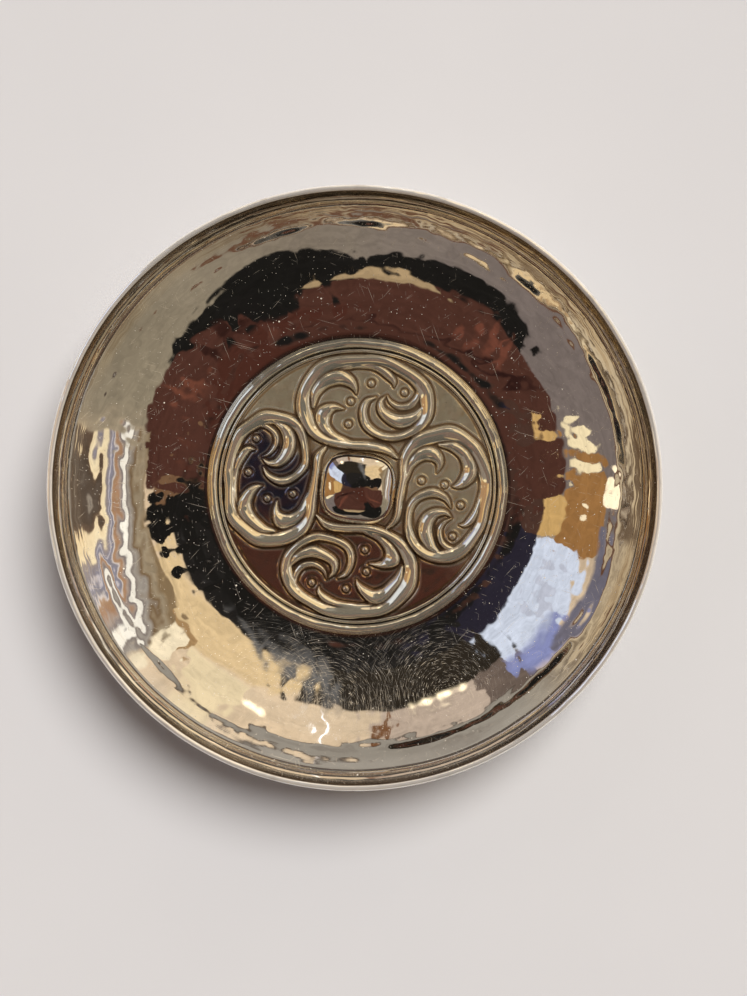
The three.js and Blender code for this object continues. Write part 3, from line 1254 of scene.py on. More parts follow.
@dataclass
class HalfRoundRing(SilverPiece):
    """Ring of half-round wire, a little uneven along its length.

    Attributes:
        inner_radius: inner radius of the flat side.
        width: width of the flat side.
        low: level of the flat side.
        height: height of the crest over the flat side.
        lean: how far the crest stands outwards of the middle.
        fullness: power of the sine that shapes the section; below 1 is fuller.
        sides: points round the ring.
        steps: points over the section.
        films_and_shade: how far the painted shade at the feet climbs the outer and the inner
            flank, as shares of the section.
        beat: unevenness of the wire.
        swell: how much higher than its height it gets at most.
        TRACK: distance from its inner edge at which the unevenness is read.
        LEAST_CLIMB: climb of the film where there is none.
    """

    TRACK: ClassVar[float] = 1.0
    LEAST_CLIMB: ClassVar[float] = 1e-6

    inner_radius: float = 0.0
    width: float = 1.0
    low: float = 0.0
    height: float = 1.0
    lean: float = 0.0
    fullness: float = 1.0
    sides: int = 720
    steps: int = 22
    films_and_shade: Pair = (0.0, 0.0)
    beat: Unevenness = Unevenness(height=0.02, shortest=4.0, longest=11.0, seed=21)
    swell: float = 0.02

    def build(self) -> bpy.types.Object:
        """Carries the section round the axis.

        With b from 0 to 180 degrees over the section, the radius is the middle plus half
        the width times cos b plus the lean times sin squared b, and the level is the
        crest's height times sin b to the power of the fullness. The lean wavers by the
        wire's unevenness, and the height by what it is a third of the way further round.

        Returns:
            The object.
        """
        bend = np.linspace(0.0, np.pi, self.steps + 1)[:, None]
        angle = np.arange(self.sides) * (2 * np.pi / self.sides)
        track = np.stack([np.cos(angle), np.sin(angle)], axis=-1)
        beat = self.beat.at(track * (self.inner_radius + self.TRACK))
        other = np.roll(beat, self.sides // 3)
        middle = self.inner_radius + self.width / 2
        arch = np.sin(bend).clip(0.0)
        radius = middle + np.cos(bend) * self.width / 2 + (self.lean + beat) * arch**2
        level = self.low + arch**self.fullness * (self.height + np.minimum(other, self.swell))
        grid = revolved(radius, level, self.sides)
        skin = Skin()
        skin.web(skin.add_points(out_of_round(grid)), True, True)
        # The patina_and_shade attribute of a wire is painted shade at its feet.
        piece = skin.piece(self.name, {"patina_and_shade": self.film(bend / np.pi, grid.shape[:2])})
        piece.data.set_sharp_from_angle(angle=CREASE)
        return piece

    def film(self, share: np.ndarray, shape: tuple[int, ...]) -> np.ndarray:
        """Painted shade at the feet of the flanks: full over half its climb, and gone at its end.

        Args:
            share: place of each row over the section, 0 at the outer foot and 1 at the inner.
            shape: rows and columns of the ring's grid.

        Returns:
            The painted shade, 0 to 1 by point.
        """
        outer, inner = (max(climb, self.LEAST_CLIMB) for climb in self.films_and_shade)
        film = smooth_step(share, outer, outer / 2)
        film = film + smooth_step(share, 1 - inner, 1 - inner / 2)
        return np.broadcast_to(film, shape)


@dataclass(frozen=True)
class Strap:
    """One raised strap of a roundel, drawn with u to the right and v outwards.

    Attributes:
        line: points (u, v, half width) of its centre line.
        height: height of its crest as a share of the relief.
        lean: how far the crest stands to the left of travel, as a share of the half width.
        foot: height of the long flank's end as a share of the crest.
        STEP: distance between the samples of the centre line.
        FEWEST: samples of the shortest line.
        NARROWEST: least half width.
    """

    STEP: ClassVar[float] = 0.22
    FEWEST: ClassVar[int] = 8
    NARROWEST: ClassVar[float] = 0.08

    line: tuple[Triple, ...]
    height: float = 1.0
    lean: float = 0.15
    foot: float = 0.2

    def centre_line(self, count: int) -> np.ndarray:
        """Smooth curve through the drawn points, in cubic pieces.

        Time passes between two points as the root of their distance, and the slope at a
        point is that of the parabola through it and its two neighbours.

        Args:
            count: number of samples.

        Returns:
            One row (u, v, half width) for each sample.
        """
        drawn = np.array(self.line)
        ends = [2 * drawn[:1] - drawn[1:2], drawn, 2 * drawn[-1:] - drawn[-2:-1]]
        p = np.concatenate(ends)
        gaps = np.linalg.norm(np.diff(p, axis=0), axis=1) ** 0.5
        chord = np.diff(p, axis=0)
        share = np.linspace(0.0, len(drawn) - 1.0, count)
        k = np.minimum(share.astype(int), len(drawn) - 2)
        t = (share - k)[:, None]
        g0, g1, g2 = (gaps[k + i][:, None] for i in range(3))
        wide_in = (chord[k] + chord[k + 1]) / (g0 + g1)
        wide_out = (chord[k + 1] + chord[k + 2]) / (g1 + g2)
        start = g1 * (chord[k] / g0 - wide_in + chord[k + 1] / g1)
        stop = g1 * (chord[k + 1] / g1 - wide_out + chord[k + 2] / g2)
        bow = p[k + 1] * (2 * t**3 - 3 * t**2 + 1) + p[k + 2] * (3 * t**2 - 2 * t**3)
        return bow + start * (t**3 - 2 * t**2 + t) + stop * (t**3 - t**2)

    def relief(self, u: np.ndarray, v: np.ndarray) -> tuple[np.ndarray, np.ndarray]:
        """Height of the strap, and the distance outside its edge, at each point.

        The nearest place is the sample with the least distance less half width. Across
        the strap, the place runs from -1 at the right edge to 1 at the left.

        Args:
            u: place to the right.
            v: place outwards.

        Returns:
            Heights as a share of the relief, and distances outside the edge.
        """
        length = np.linalg.norm(np.diff(np.array(self.line)[:, :2], axis=0), axis=1).sum()
        line = self.centre_line(int(length / self.STEP) + self.FEWEST)
        along = np.gradient(line[:, :2], axis=0)
        pace = np.linalg.norm(along, axis=1, keepdims=True)
        along /= pace
        taper = np.gradient(line[:, 2])[:, None] / pace
        apart_u = u[:, None] - line[:, 0]
        apart_v = v[:, None] - line[:, 1]
        near = (np.hypot(apart_u, apart_v) - line[:, 2]).argmin(axis=1)
        du, dv = u - line[near, 0], v - line[near, 1]
        onward = du * along[near, 0] + dv * along[near, 1]
        left = dv * along[near, 0] - du * along[near, 1]
        at_end = (near == 0) | (near == len(line) - 1)
        distance = np.where(at_end, np.hypot(du, dv), np.abs(left))
        half = line[near, 2] + taper[near, 0] * np.where(at_end, 0.0, onward)
        half = np.maximum(half, self.NARROWEST)
        across = np.clip(np.sign(left) * distance / half, -1.0, 1.0)
        return self.section(across) * self.crest(half), distance - half

    def crest(self, half: np.ndarray) -> np.ndarray:
        """Crest as a share of the relief: height times (half width, at most 1)^0.6."""
        return self.height * np.minimum(half, 1.0) ** 0.6

    def section(self, across: np.ndarray) -> np.ndarray:
        """Height over the section, as a share of the crest.

        With x the share of the way from the crest to the edge, the steep side falls as
        (1 - x^2.3)^0.7 and the long flank as 1 - (1 - foot) x^1.8, rounded off at its end.

        Args:
            across: place across, from -1 at the right to 1.

        Returns:
            The height.
        """
        steep = np.clip((across - self.lean) / (1 - self.lean), 0.0, 1.0)
        gentle = np.clip((self.lean - across) / (1 + self.lean), 0.0, 1.0)
        edge = np.sqrt(1 - smooth_step(gentle, 0.72, 1.0))
        flank = (1 - (1 - self.foot) * gentle**1.8) * edge
        return np.where(across > self.lean, (1 - steep**2.3) ** 0.7, flank)


@dataclass(frozen=True)
class Line:
    """Chased groove of bell section, or the low bank that it throws up.

    Attributes:
        place: distance of its middle from the edge that it follows.
        width: width of the bell.
        height: height of its middle, negative for a groove.
    """

    place: float
    width: float
    height: float

    def share(self, distance: np.ndarray) -> np.ndarray:
        """Share of its height at each distance from the edge."""
        return bell(distance, self.place, self.width)


HOOP = Strap(
    (
        (7.1, 6.3, 0.25), (5.1, 7.7, 0.75), (1.6, 8.15, 0.9), (-2.4, 8.1, 0.95),
        (-6.3, 8.25, 1.1), (-9.7, 10.3, 1.35), (-11.6, 13.9, 1.55), (-11.4, 17.8, 1.6),
        (-9.4, 21.1, 1.5), (-5.6, 23.3, 1.35), (-0.8, 24.1, 1.25), (4.2, 23.7, 1.2),
        (8.4, 21.9, 1.3), (11.0, 18.7, 1.45), (11.4, 15.2, 1.3), (9.8, 12.1, 1.05),
        (6.6, 10.3, 0.85), (3.2, 10.4, 0.8), (0.6, 12.0, 0.85), (-0.4, 14.4, 0.85),
        (0.2, 16.5, 0.6), (1.8, 17.5, 0.12),
    ),
    height=1.0, lean=0.3, foot=0.25,
)
LOWER_CLAW = Strap(
    (
        (-2.2, 8.7, 0.35), (-5.4, 9.3, 0.85), (-7.5, 11.2, 1.3), (-7.9, 13.1, 1.55),
        (-6.3, 14.5, 0.8), (-4.2, 14.5, 0.12),
    ),
    height=0.85, lean=0.15,
)
UPPER_CLAW = Strap(
    (
        (-9.9, 14.4, 0.4), (-9.5, 17.1, 1.1), (-7.9, 19.4, 1.45), (-5.4, 20.4, 1.55),
        (-3.5, 19.8, 1.2), (-2.4, 18.7, 0.65), (-2.0, 17.7, 0.12),
    ),
    height=0.95, lean=0.15,
)
HANGING_CLAW = Strap(
    (
        (-5.6, 22.0, 0.3), (-2.0, 23.0, 0.5), (1.2, 22.8, 0.65), (3.6, 21.8, 0.85),
        (4.8, 20.7, 0.55), (5.0, 19.7, 0.12),
    ),
    height=0.8, lean=0.1,
)
THIN_CURL = Strap(
    (
        (5.4, 22.7, 0.3), (7.4, 22.3, 0.5), (9.2, 20.7, 0.5), (9.7, 18.4, 0.55),
        (8.5, 16.4, 0.6), (6.4, 15.9, 0.55), (4.7, 16.7, 0.4), (3.9, 17.9, 0.12),
    ),
    height=0.6, lean=0.0,
)
COMMA = Strap(
    (
        (10.8, 16.6, 0.3), (9.4, 14.5, 1.1), (7.0, 13.4, 1.45), (4.8, 13.8, 1.25),
        (3.1, 15.0, 0.95), (2.8, 16.5, 0.6), (3.5, 17.7, 0.12),
    ),
    height=1.0, lean=0.1,
)


def hand(height: float, seed: int) -> Unevenness:
    """Difference between one roundel's drawing and the others', a slow drift."""
    return Unevenness(height, shortest=6.0, longest=14.0, seed=seed)


@dataclass(frozen=True)
class Roundel:
    """One whorl of straps and pellets, turned by a number of quarter turns.

    Attributes:
        turns: quarter turns to the right from the uppermost.
        pellets: places (u, v) of its four pellets.
        hand: small difference of this roundel's drawing from the others.
        outwards: how far it stands away from the middle, against the drawing.
        straps: its straps, the same for all four.
    """

    turns: int
    pellets: tuple[Pair, ...]
    hand: Unevenness
    outwards: float = 0.0
    straps: tuple[Strap, ...] = (HOOP, LOWER_CLAW, UPPER_CLAW, HANGING_CLAW, THIN_CURL, COMMA)

    def local(self, x: np.ndarray, y: np.ndarray) -> tuple[np.ndarray, np.ndarray]:
        """Turns places on the disc into the roundel's own u and v.

        Args:
            x: place to the right.
            y: place upwards.

        Returns:
            Place u to the right and v outwards, as the roundel is drawn.
        """
        turn = self.turns * np.pi / 2
        u, v = x * np.cos(turn) - y * np.sin(turn), x * np.sin(turn) + y * np.cos(turn)
        return u, v - self.outwards


@dataclass
class ChasedMedallion(SilverPiece):
    """Disc with four chased whorl roundels on a satin ground.

    Attributes:
        radius: radius of the disc.
        low: level of its underside.
        ground: level of its ground.
        relief: height of the tallest strap over the ground.
        reach: radius that the relief stays inside.
        drawn_reach: the same radius in the drawing of the straps.
        reach_fade: distance inside it over which the relief dies out.
        cells: cells across the grid of its face.
        pellet: radius of a pellet.
        pellet_height: its height.
        pellet_groove: punched ring round a pellet.
        pellet_bank: bank outside that ring.
        strap_groove: chased groove along the straps.
        strap_bank: bank outside that groove.
        border: groove round the whole disc, by its radius.
        films_and_shade: film in the grooves along the straps, round the pellets and at the border.
        hollow_size: width of the surroundings that a hollow is measured against.
        hollow_depth: depth below them at which the patina is full.
        lumps: unevenness of the ground.
        roundels: the four roundels.
        MARGIN: how far round a strap's drawing its relief is worked out.
        FAR: distance outside every strap where none is worked out.
        APART: step that makes a roundel drift another way across than along.
    """

    MARGIN: ClassVar[float] = 3.0
    FAR: ClassVar[float] = 9.0
    APART: ClassVar[float] = 40.0

    radius: float = 26.4
    low: float = 0.8
    ground: float = 1.5
    relief: float = 1.16
    reach: float = 25.6
    drawn_reach: float = 25.35
    reach_fade: float = 0.25
    cells: int = 308
    pellet: float = 0.66
    pellet_height: float = 0.34
    pellet_groove: Line = Line(place=0.12, width=0.17, height=-0.16)
    pellet_bank: Line = Line(place=0.5, width=0.2, height=0.10)
    strap_groove: Line = Line(place=0.12, width=0.17, height=-0.10)
    strap_bank: Line = Line(place=0.52, width=0.18, height=0.05)
    border: Line = Line(place=25.2, width=0.16, height=-0.07)
    films_and_shade: Triple = (0.85, 0.7, 0.6)
    hollow_size: float = 0.4
    hollow_depth: float = 0.13
    lumps: Unevenness = Unevenness(height=0.022, shortest=1.6, longest=5.0, seed=31, waves=24)
    roundels: tuple[Roundel, ...] = (
        Roundel(
            0,
            ((7.0, 18.8), (0.6, 19.9), (-2.9, 16.1), (-2.9, 11.8)),
            hand(0.10, seed=41),
            -0.12,
        ),
        Roundel(
            1,
            ((7.3, 18.7), (1.3, 19.5), (-2.2, 16.1), (-2.5, 11.7)),
            hand(0.16, seed=42),
            0.2,
        ),
        Roundel(
            2,
            ((6.6, 19.2), (0.0, 19.7), (-3.5, 16.0), (-2.8, 11.9)),
            hand(0.16, seed=43),
            -0.12,
        ),
        Roundel(
            3,
            ((7.0, 19.7), (0.5, 20.5), (-4.0, 16.4), (-2.6, 11.7)),
            hand(0.16, seed=44),
            0.2,
        ),
    )

    def face(self) -> tuple[np.ndarray, np.ndarray]:
        """Square grid bent into a disc with cells of even area.

        Along each row of the square, the longer coordinate becomes the radius and the
        ratio of the two coordinates becomes the angle within its quarter.

        Returns:
            The x and y of each point of the grid.
        """
        side = np.linspace(-1.0, 1.0, self.cells + 1)
        a, b = np.meshgrid(side, side, indexing="ij")
        wide = np.abs(a) > np.abs(b)
        long = np.where(wide, a, b)
        ratio = np.where(wide, b, a) / np.where(long == 0, 1.0, long)
        angle = np.where(wide, ratio * np.pi / 4, np.pi / 2 - ratio * np.pi / 4)
        return long * self.radius * np.cos(angle), long * self.radius * np.sin(angle)

    def straps(self, x: np.ndarray, y: np.ndarray) -> tuple[np.ndarray, np.ndarray]:
        """Height of all straps together, and the distance outside the nearest.

        Heights join as the fifth root of the sum of their fifth powers, which is the
        larger one except near a meeting, where it makes a small fillet.

        Args:
            x: place to the right, as drawn.
            y: place upwards, as drawn.

        Returns:
            Height as a share of the relief, and the distance outside.
        """
        total = np.zeros(x.shape)
        outside = np.full(x.shape, self.FAR)
        for roundel in self.roundels:
            u, v = roundel.local(x, y)
            u = u + roundel.hand.at(np.stack([u, v], axis=-1))
            v = v + roundel.hand.at(np.stack([v + self.APART, u], axis=-1))
            for strap in roundel.straps:
                drawn = np.array(strap.line)[:, :2]
                low, high = drawn.min(axis=0) - self.MARGIN, drawn.max(axis=0) + self.MARGIN
                near = (u > low[0]) & (u < high[0]) & (v > low[1]) & (v < high[1])
                height, apart = strap.relief(u[near], v[near])
                total[near] += height**5
                outside[near] = np.minimum(outside[near], apart)
        return total**0.2, outside

    def pellet_relief(self, x: np.ndarray, y: np.ndarray) -> tuple[np.ndarray, np.ndarray]:
        """Domes with a punched ring round each.

        With q the distance from the pellet's middle, the dome is its height times the root
        of 1 - (q / radius)^2.

        Args:
            x: place to the right, as drawn.
            y: place upwards, as drawn.

        Returns:
            Height over the ground, and how deep in a punched ring a point is.
        """
        height, ring = np.zeros(x.shape), np.zeros(x.shape)
        for roundel in self.roundels:
            u, v = roundel.local(x, y)
            for pellet_u, pellet_v in roundel.pellets:
                q = np.hypot(u - pellet_u, v - pellet_v)
                dome = np.sqrt(np.clip(1 - (q / self.pellet) ** 2, 0.0, 1.0))
                groove = self.pellet_groove.share(q - self.pellet)
                bank = self.pellet_bank.share(q - self.pellet)
                height += self.pellet_height * dome + self.pellet_groove.height * groove
                height += self.pellet_bank.height * bank
                ring = np.maximum(ring, groove)
        return height, ring

    def build(self) -> bpy.types.Object:
        """Builds the disc: the chased face, an upright edge and a flat back.

        Returns:
            The object.
        """
        x, y = self.face()
        height, marks = self.chasing(x, y)
        face = out_of_round(np.stack([x, y, self.ground + height], axis=-1))
        skin = Skin()
        numbers = skin.add_points(face)
        skin.web(numbers, False, False)
        sides = [numbers[0, :-1], numbers[:-1, -1], numbers[-1, :0:-1], numbers[:0:-1, 0]]
        edge = np.concatenate(sides)
        rim = face.reshape(-1, 3)[edge]
        foot = skin.add_points(np.stack([rim[:, 0], rim[:, 1], np.full(len(rim), self.low)], -1))
        skin.web(np.stack([foot, edge]), False, True)
        skin.cap(foot, np.array([0.0, 0.0, self.low]), False)
        return skin.piece(self.name, marks)

    def chasing(self, x: np.ndarray, y: np.ndarray) -> tuple[np.ndarray, dict[str, np.ndarray]]:
        """All the relief of the face, and where it is dark or rubbed bright.

        It is the sum of straps, pellets, grooves, banks and the ground's unevenness, and
        dies out at the edge. A hollow lies below the mean of its surroundings.

        Args:
            x: place to the right.
            y: place upwards.

        Returns:
            Height over the ground, and the patina and crest marks by attribute name.
        """
        radius = np.hypot(x, y)
        drawn_x, drawn_y = (a * (self.drawn_reach / self.reach) for a in (x, y))
        straps, outside = self.straps(drawn_x, drawn_y)
        pellets, rings = self.pellet_relief(drawn_x, drawn_y)
        ground = 1 - smooth_step(straps, 0.0, 0.3)
        groove, bank = self.strap_groove.share(outside), self.strap_bank.share(outside)
        line = self.border.share(radius) * ground
        height = self.relief * straps + pellets * ground
        height = height + self.strap_groove.height * groove + self.strap_bank.height * bank
        height = height + self.border.height * line
        height = height + self.lumps.at(np.stack([x, y], axis=-1)) * ground
        height = height * (1 - smooth_step(radius, self.reach - self.reach_fade, self.reach))
        cell = 2 * self.radius / self.cells
        below = softened(height, self.hollow_size / cell) - height
        hollow = np.clip(below / self.hollow_depth, 0.0, 1.0)
        films_and_shade = [film * mark for film, mark in zip(self.films_and_shade, (groove, rings, line))]
        patina_and_shade = np.maximum.reduce([hollow, *films_and_shade])
        crest = smooth_step(straps, 0.08, 0.4) + smooth_step(pellets, 0.05, 0.2) * 0.6
        crest = np.clip(crest + 0.45 * bank * ground, 0.0, 1.0) * (1 - 0.6 * hollow)
        return height, {"patina_and_shade": patina_and_shade, "crest": crest}


@dataclass
class DomedBoss(SilverPiece):
    """Smooth cushion, square with rounded corners, in the middle of the disc.

    Attributes:
        half: half its width across the flats.
        low: level of its flat back.
        edge: height of the upright edge.
        height: height of the crown over the back.
        flatness: power of the cushion; the larger, the flatter its top.
        squareness: exponent of the plan at the edge; the crown is round.
        stretch: how much wider it is across and along, as made by hand.
        shift: how far it sits off the middle.
        rows: points from the crown to the edge.
        sides: points round it.
        dents: unevenness of its crown.
    """

    half: float = 7.05
    low: float = 1.5
    edge: float = 0.12
    height: float = 2.9
    flatness: float = 2.6
    squareness: float = 2.9
    stretch: Pair = (1.035, 0.975)
    shift: Pair = (0.15, -0.15)
    rows: int = 90
    sides: int = 240
    dents: Unevenness = Unevenness(height=0.014, shortest=2.5, longest=6.0, seed=51)

    def plan(self, share: np.ndarray) -> np.ndarray:
        """Points (x, y) by share of the way out and angle.

        The radius is the share times (|cos a|^n + |sin a|^n)^(-1/n), where n grows from
        2 at the crown to the squareness at the edge.

        Args:
            share: share of the way out, by row.

        Returns:
            Points by row and column.
        """
        angle = np.arange(self.sides) * (2 * np.pi / self.sides)
        power = 2 + (self.squareness - 2) * share**1.5
        across = np.abs(np.cos(angle)) ** power + np.abs(np.sin(angle)) ** power
        radius = self.half * share * across ** (-1 / power)
        return np.stack([radius * np.cos(angle), radius * np.sin(angle)], axis=-1)

    def build(self) -> bpy.types.Object:
        """Builds the cushion over the upright edge.

        Over the share s of the way out, its height is (1 - s^n)^0.7 of the crown's. The
        rows lie closer together towards the edge, as 1 - (1 - t)^1.15 for even t.

        Returns:
            The object.
        """
        share = np.linspace(0.0, 1.0, self.rows + 1)[1:, None]
        share = 1 - (1 - share) ** 1.15
        plan = self.plan(share)
        cap = (1 - share**self.flatness) ** 0.7 * (self.height - self.edge)
        dents = self.dents.at(plan) * (1 - smooth_step(share, 0.7, 1.0))
        level = self.low + self.edge + cap + dents
        plan = plan * self.stretch + self.shift
        dome = np.concatenate([plan, level[..., None]], axis=-1)
        foot = np.concatenate([plan[-1:], np.full((1, self.sides, 1), self.low)], axis=-1)
        skin = Skin()
        numbers = skin.add_points(np.concatenate([dome, foot]))
        skin.web(numbers, False, True)
        skin.cap(numbers[0], np.array([*self.shift, self.low + self.height]), False)
        skin.cap(numbers[-1], np.array([*self.shift, self.low]), True)
        piece = skin.piece(self.name)
        piece.data.set_sharp_from_angle(angle=CREASE)
        return piece


# Studio


@dataclass(frozen=True)
class Card:
    """Soft-edged reflector or light, an ellipse on the sky.

    The sky is laid out flat: the point straight above is the middle, and a right angle
    away from it is one unit, to the right or up in the camera's picture.

    Attributes:
        across: place of its middle to the right.
        up: place of its middle upwards.
        wide: half its width.
        tall: half its height.
        lean: turn to the left, in degrees.
        colour: its light, as red, green and blue.
        edge: softness of its edge as a share of its size.
    """

    across: float
    up: float
    wide: float
    tall: float
    lean: float
    colour: Triple
    edge: float = 0.12

    def mask(self, across: Signal, up: Signal) -> Signal:
        """1 inside the card and 0 outside: the step of its elliptical distance.

        Args:
            across: place on the flat sky to the right.
            up: place upwards.

        Returns:
            The mask.
        """
        turn = math.radians(self.lean)
        right, high = across - self.across, up - self.up
        own_right = (right * math.cos(turn) + high * math.sin(turn)) / self.wide
        own_high = (high * math.cos(turn) - right * math.sin(turn)) / self.tall
        distance = (own_right * own_right + own_high * own_high).root()
        return distance.rise(1 + self.edge, 1 - self.edge)


@dataclass(frozen=True)
class Wedge:
    """Drape or reflector cut as a slice round the point straight above.

    Attributes:
        start: direction of its first side, in degrees from the right towards the top.
        stop: direction of its second side.
        near: how far out it starts.
        far: how far out it reaches in its middle.
        colour: its light, as red, green and blue.
        bulge: how much less far it reaches at its sides, as a share.
        edge: softness of its edge.
        SIDES: squared turns between which its two sides fade, 1 at a side.
    """

    SIDES: ClassVar[Pair] = (1.08, 0.92)

    start: float
    stop: float
    near: float
    far: float
    colour: Triple
    bulge: float = 0.12
    edge: float = 0.014

    def mask(self, across: Signal, up: Signal) -> Signal:
        """1 inside the wedge and 0 outside.

        With t the turn from its middle, 1 at a side, it reaches 1 - bulge t^2 of the way.

        Args:
            across: place on the flat sky to the right.
            up: place upwards.

        Returns:
            The mask.
        """
        half = math.radians(self.stop - self.start) / 2
        middle = math.radians(self.start + self.stop) / 2
        c, s = math.cos(middle), math.sin(middle)
        along, aside = across * c + up * s, up * c - across * s
        turn = aside.angle_to(along) / half
        out = (along * along + aside * aside).root()
        over = out - (1 - turn * turn * self.bulge) * self.far
        mask = (turn * turn).rise(*self.SIDES) * over.rise(self.edge, -self.edge)
        if self.near > 0:
            mask = mask * out.rise(self.near - self.edge, self.near + self.edge)
        return mask


DARK = (0.012, 0.011, 0.010)
LAMP = (22.0, 18.5, 13.0)
HALO = (2.0, 1.7, 1.2)
# Each card covers those before it: Wedge(start, stop, near, far, colour, bulge, edge)
# and Card(across, up, wide, tall, lean, colour, edge)
CARDS = (
    # warm side, above in the picture
    Wedge(96, 137, 0.5, 1.3, (0.55, 0.44, 0.36)),
    Wedge(124, 137, 0.35, 1.2, (0.16, 0.12, 0.10), 0.0),
    Wedge(24, 80, 0.2, 0.60, (0.78, 0.58, 0.33), 0.2, 0.05),
    Wedge(30, 52, 0.50, 0.80, (0.40, 0.25, 0.12), 0.3),
    Wedge(36, 46, 0.56, 0.9, (0.95, 0.82, 0.60), 0.1),
    Wedge(50, 64, 0.62, 0.93, (0.85, 0.70, 0.46), 0.1, 0.04),
    Card(-0.115, 0.80, 0.014, 0.24, 2, (0.20, 0.09, 0.04)),
    # left side: warm panel and cool softbox
    Wedge(160, 187, 0.42, 0.86, (0.34, 0.17, 0.06), 0.1),
    Card(-0.87, 0.0, 0.07, 0.05, 0, (1.3, 1.1, 0.8)),
    Card(-0.62, 0.04, 0.05, 0.018, -12, (1.0, 0.85, 0.6)),
    Card(-0.60, -0.10, 0.13, 0.028, 6, (0.95, 0.80, 0.52)),
    Wedge(136, 161, 0.24, 0.80, (0.66, 0.73, 0.90), 0.15),
    Wedge(134, 152, 0.66, 0.93, (0.26, 0.29, 0.56), 0.1, 0.09),
    Wedge(146, 172, 0.82, 0.93, (0.17, 0.16, 0.21), 0.05, 0.03),
    Card(-0.45, 0.24, 0.16, 0.018, -30, (0.56, 0.60, 0.74)),
    # dark canopy overhead
    Wedge(78, 138, 0.0, 0.62, (0.028, 0.022, 0.016), 0.1),
    Wedge(20, 165, 0.0, 0.24, (0.018, 0.016, 0.015), 0.3),
    Wedge(0, 27, 0.0, 0.44, DARK, 0.3),
    Wedge(218, 266, 0.0, 0.75, DARK, 0.15),
    Wedge(262, 320, 0.0, 0.78, DARK, 0.28),
    Wedge(350, 364, 0.0, 0.30, (0.20, 0.11, 0.06), 0.1),
    Wedge(158, 188, 0.0, 0.28, (0.070, 0.035, 0.026), 0.1),
    Wedge(134, 163, 0.0, 0.29, (0.024, 0.021, 0.034), 0.1),
    Wedge(184, 276, 0.0, 0.50, (0.078, 0.032, 0.023), 0.2),
    Wedge(300, 356, 0.0, 0.52, (0.082, 0.033, 0.024), 0.25),
    Wedge(163, 185, 0.26, 0.47, (0.60, 0.38, 0.15), 0.2),
    Wedge(258, 304, 0.0, 0.20, (0.075, 0.026, 0.018), 0.1, 0.05),
    Card(-0.20, -0.12, 0.16, 0.018, 20, (0.030, 0.012, 0.010), 0.6),
    Card(-0.24, -0.25, 0.14, 0.016, 52, (0.16, 0.055, 0.036), 0.7),
    Card(0.24, -0.15, 0.16, 0.018, -28, (0.17, 0.060, 0.038), 0.7),
    Card(0.20, -0.28, 0.14, 0.020, -50, (0.035, 0.014, 0.011), 0.6),
    Wedge(236, 280, 0.43, 0.535, (0.42, 0.30, 0.17), 0.3),
    Card(0.045, 0.36, 0.03, 0.22, 0, (0.16, 0.155, 0.155), 0.8),
    Card(0.0, 0.05, 0.075, 0.06, 0, DARK, 0.3),
    # small lamps
    Card(-0.262, 0.56, 0.008, 0.008, 0, LAMP, 0.4),
    Card(-0.262, 0.57, 0.038, 0.038, 0, HALO, 0.95),
    Card(0.29, 0.72, 0.009, 0.009, 0, LAMP, 0.4),
    Card(0.29, 0.72, 0.038, 0.038, 0, HALO, 0.95),
    Card(0.065, 0.78, 0.006, 0.12, 0, (2.0, 2.0, 2.1), 0.8),
)
# The bright part at the right, and its upright bands: place from left to right, and colour
BRIGHT_PART = Wedge(-15, 38, 0.43, 1.2, (1.0, 1.0, 1.0), 0.0)
BANDS = (
    (0.00, (0.26, 0.18, 0.10)), (0.12, (0.36, 0.29, 0.20)), (0.19, (0.20, 0.13, 0.07)),
    (0.27, (0.40, 0.36, 0.32)), (0.315, (0.24, 0.20, 0.18)), (0.33, (1.0, 0.95, 0.86)),
    (0.39, (1.0, 0.95, 0.86)), (0.405, (0.22, 0.19, 0.19)), (0.44, (0.42, 0.33, 0.28)),
    (0.47, (0.42, 0.24, 0.14)), (0.50, (0.44, 0.28, 0.17)), (0.515, (0.75, 0.68, 0.66)),
    (0.53, (0.27, 0.25, 0.28)), (0.56, (0.27, 0.26, 0.33)), (0.575, (0.66, 0.60, 0.62)),
    (0.59, (0.28, 0.26, 0.31)), (0.63, (0.36, 0.30, 0.28)), (0.65, (0.95, 0.80, 0.54)),
    (0.72, (0.92, 0.74, 0.48)), (0.735, (0.14, 0.09, 0.06)), (0.77, (0.10, 0.07, 0.05)),
    (0.81, (0.12, 0.09, 0.07)), (0.83, (0.36, 0.30, 0.24)), (0.85, (0.20, 0.17, 0.15)),
    (1.00, (0.22, 0.19, 0.16)),
)


@dataclass(frozen=True)
class SkyPlace:
    """Where a direction lies on the flat sky, and the side towards which it points.

    Attributes:
        across: place to the right.
        up: place upwards.
        side: share of its level part that points to the right.
        top: share of its level part that points upwards in the picture.
    """

    across: Signal
    up: Signal
    side: Signal
    top: Signal


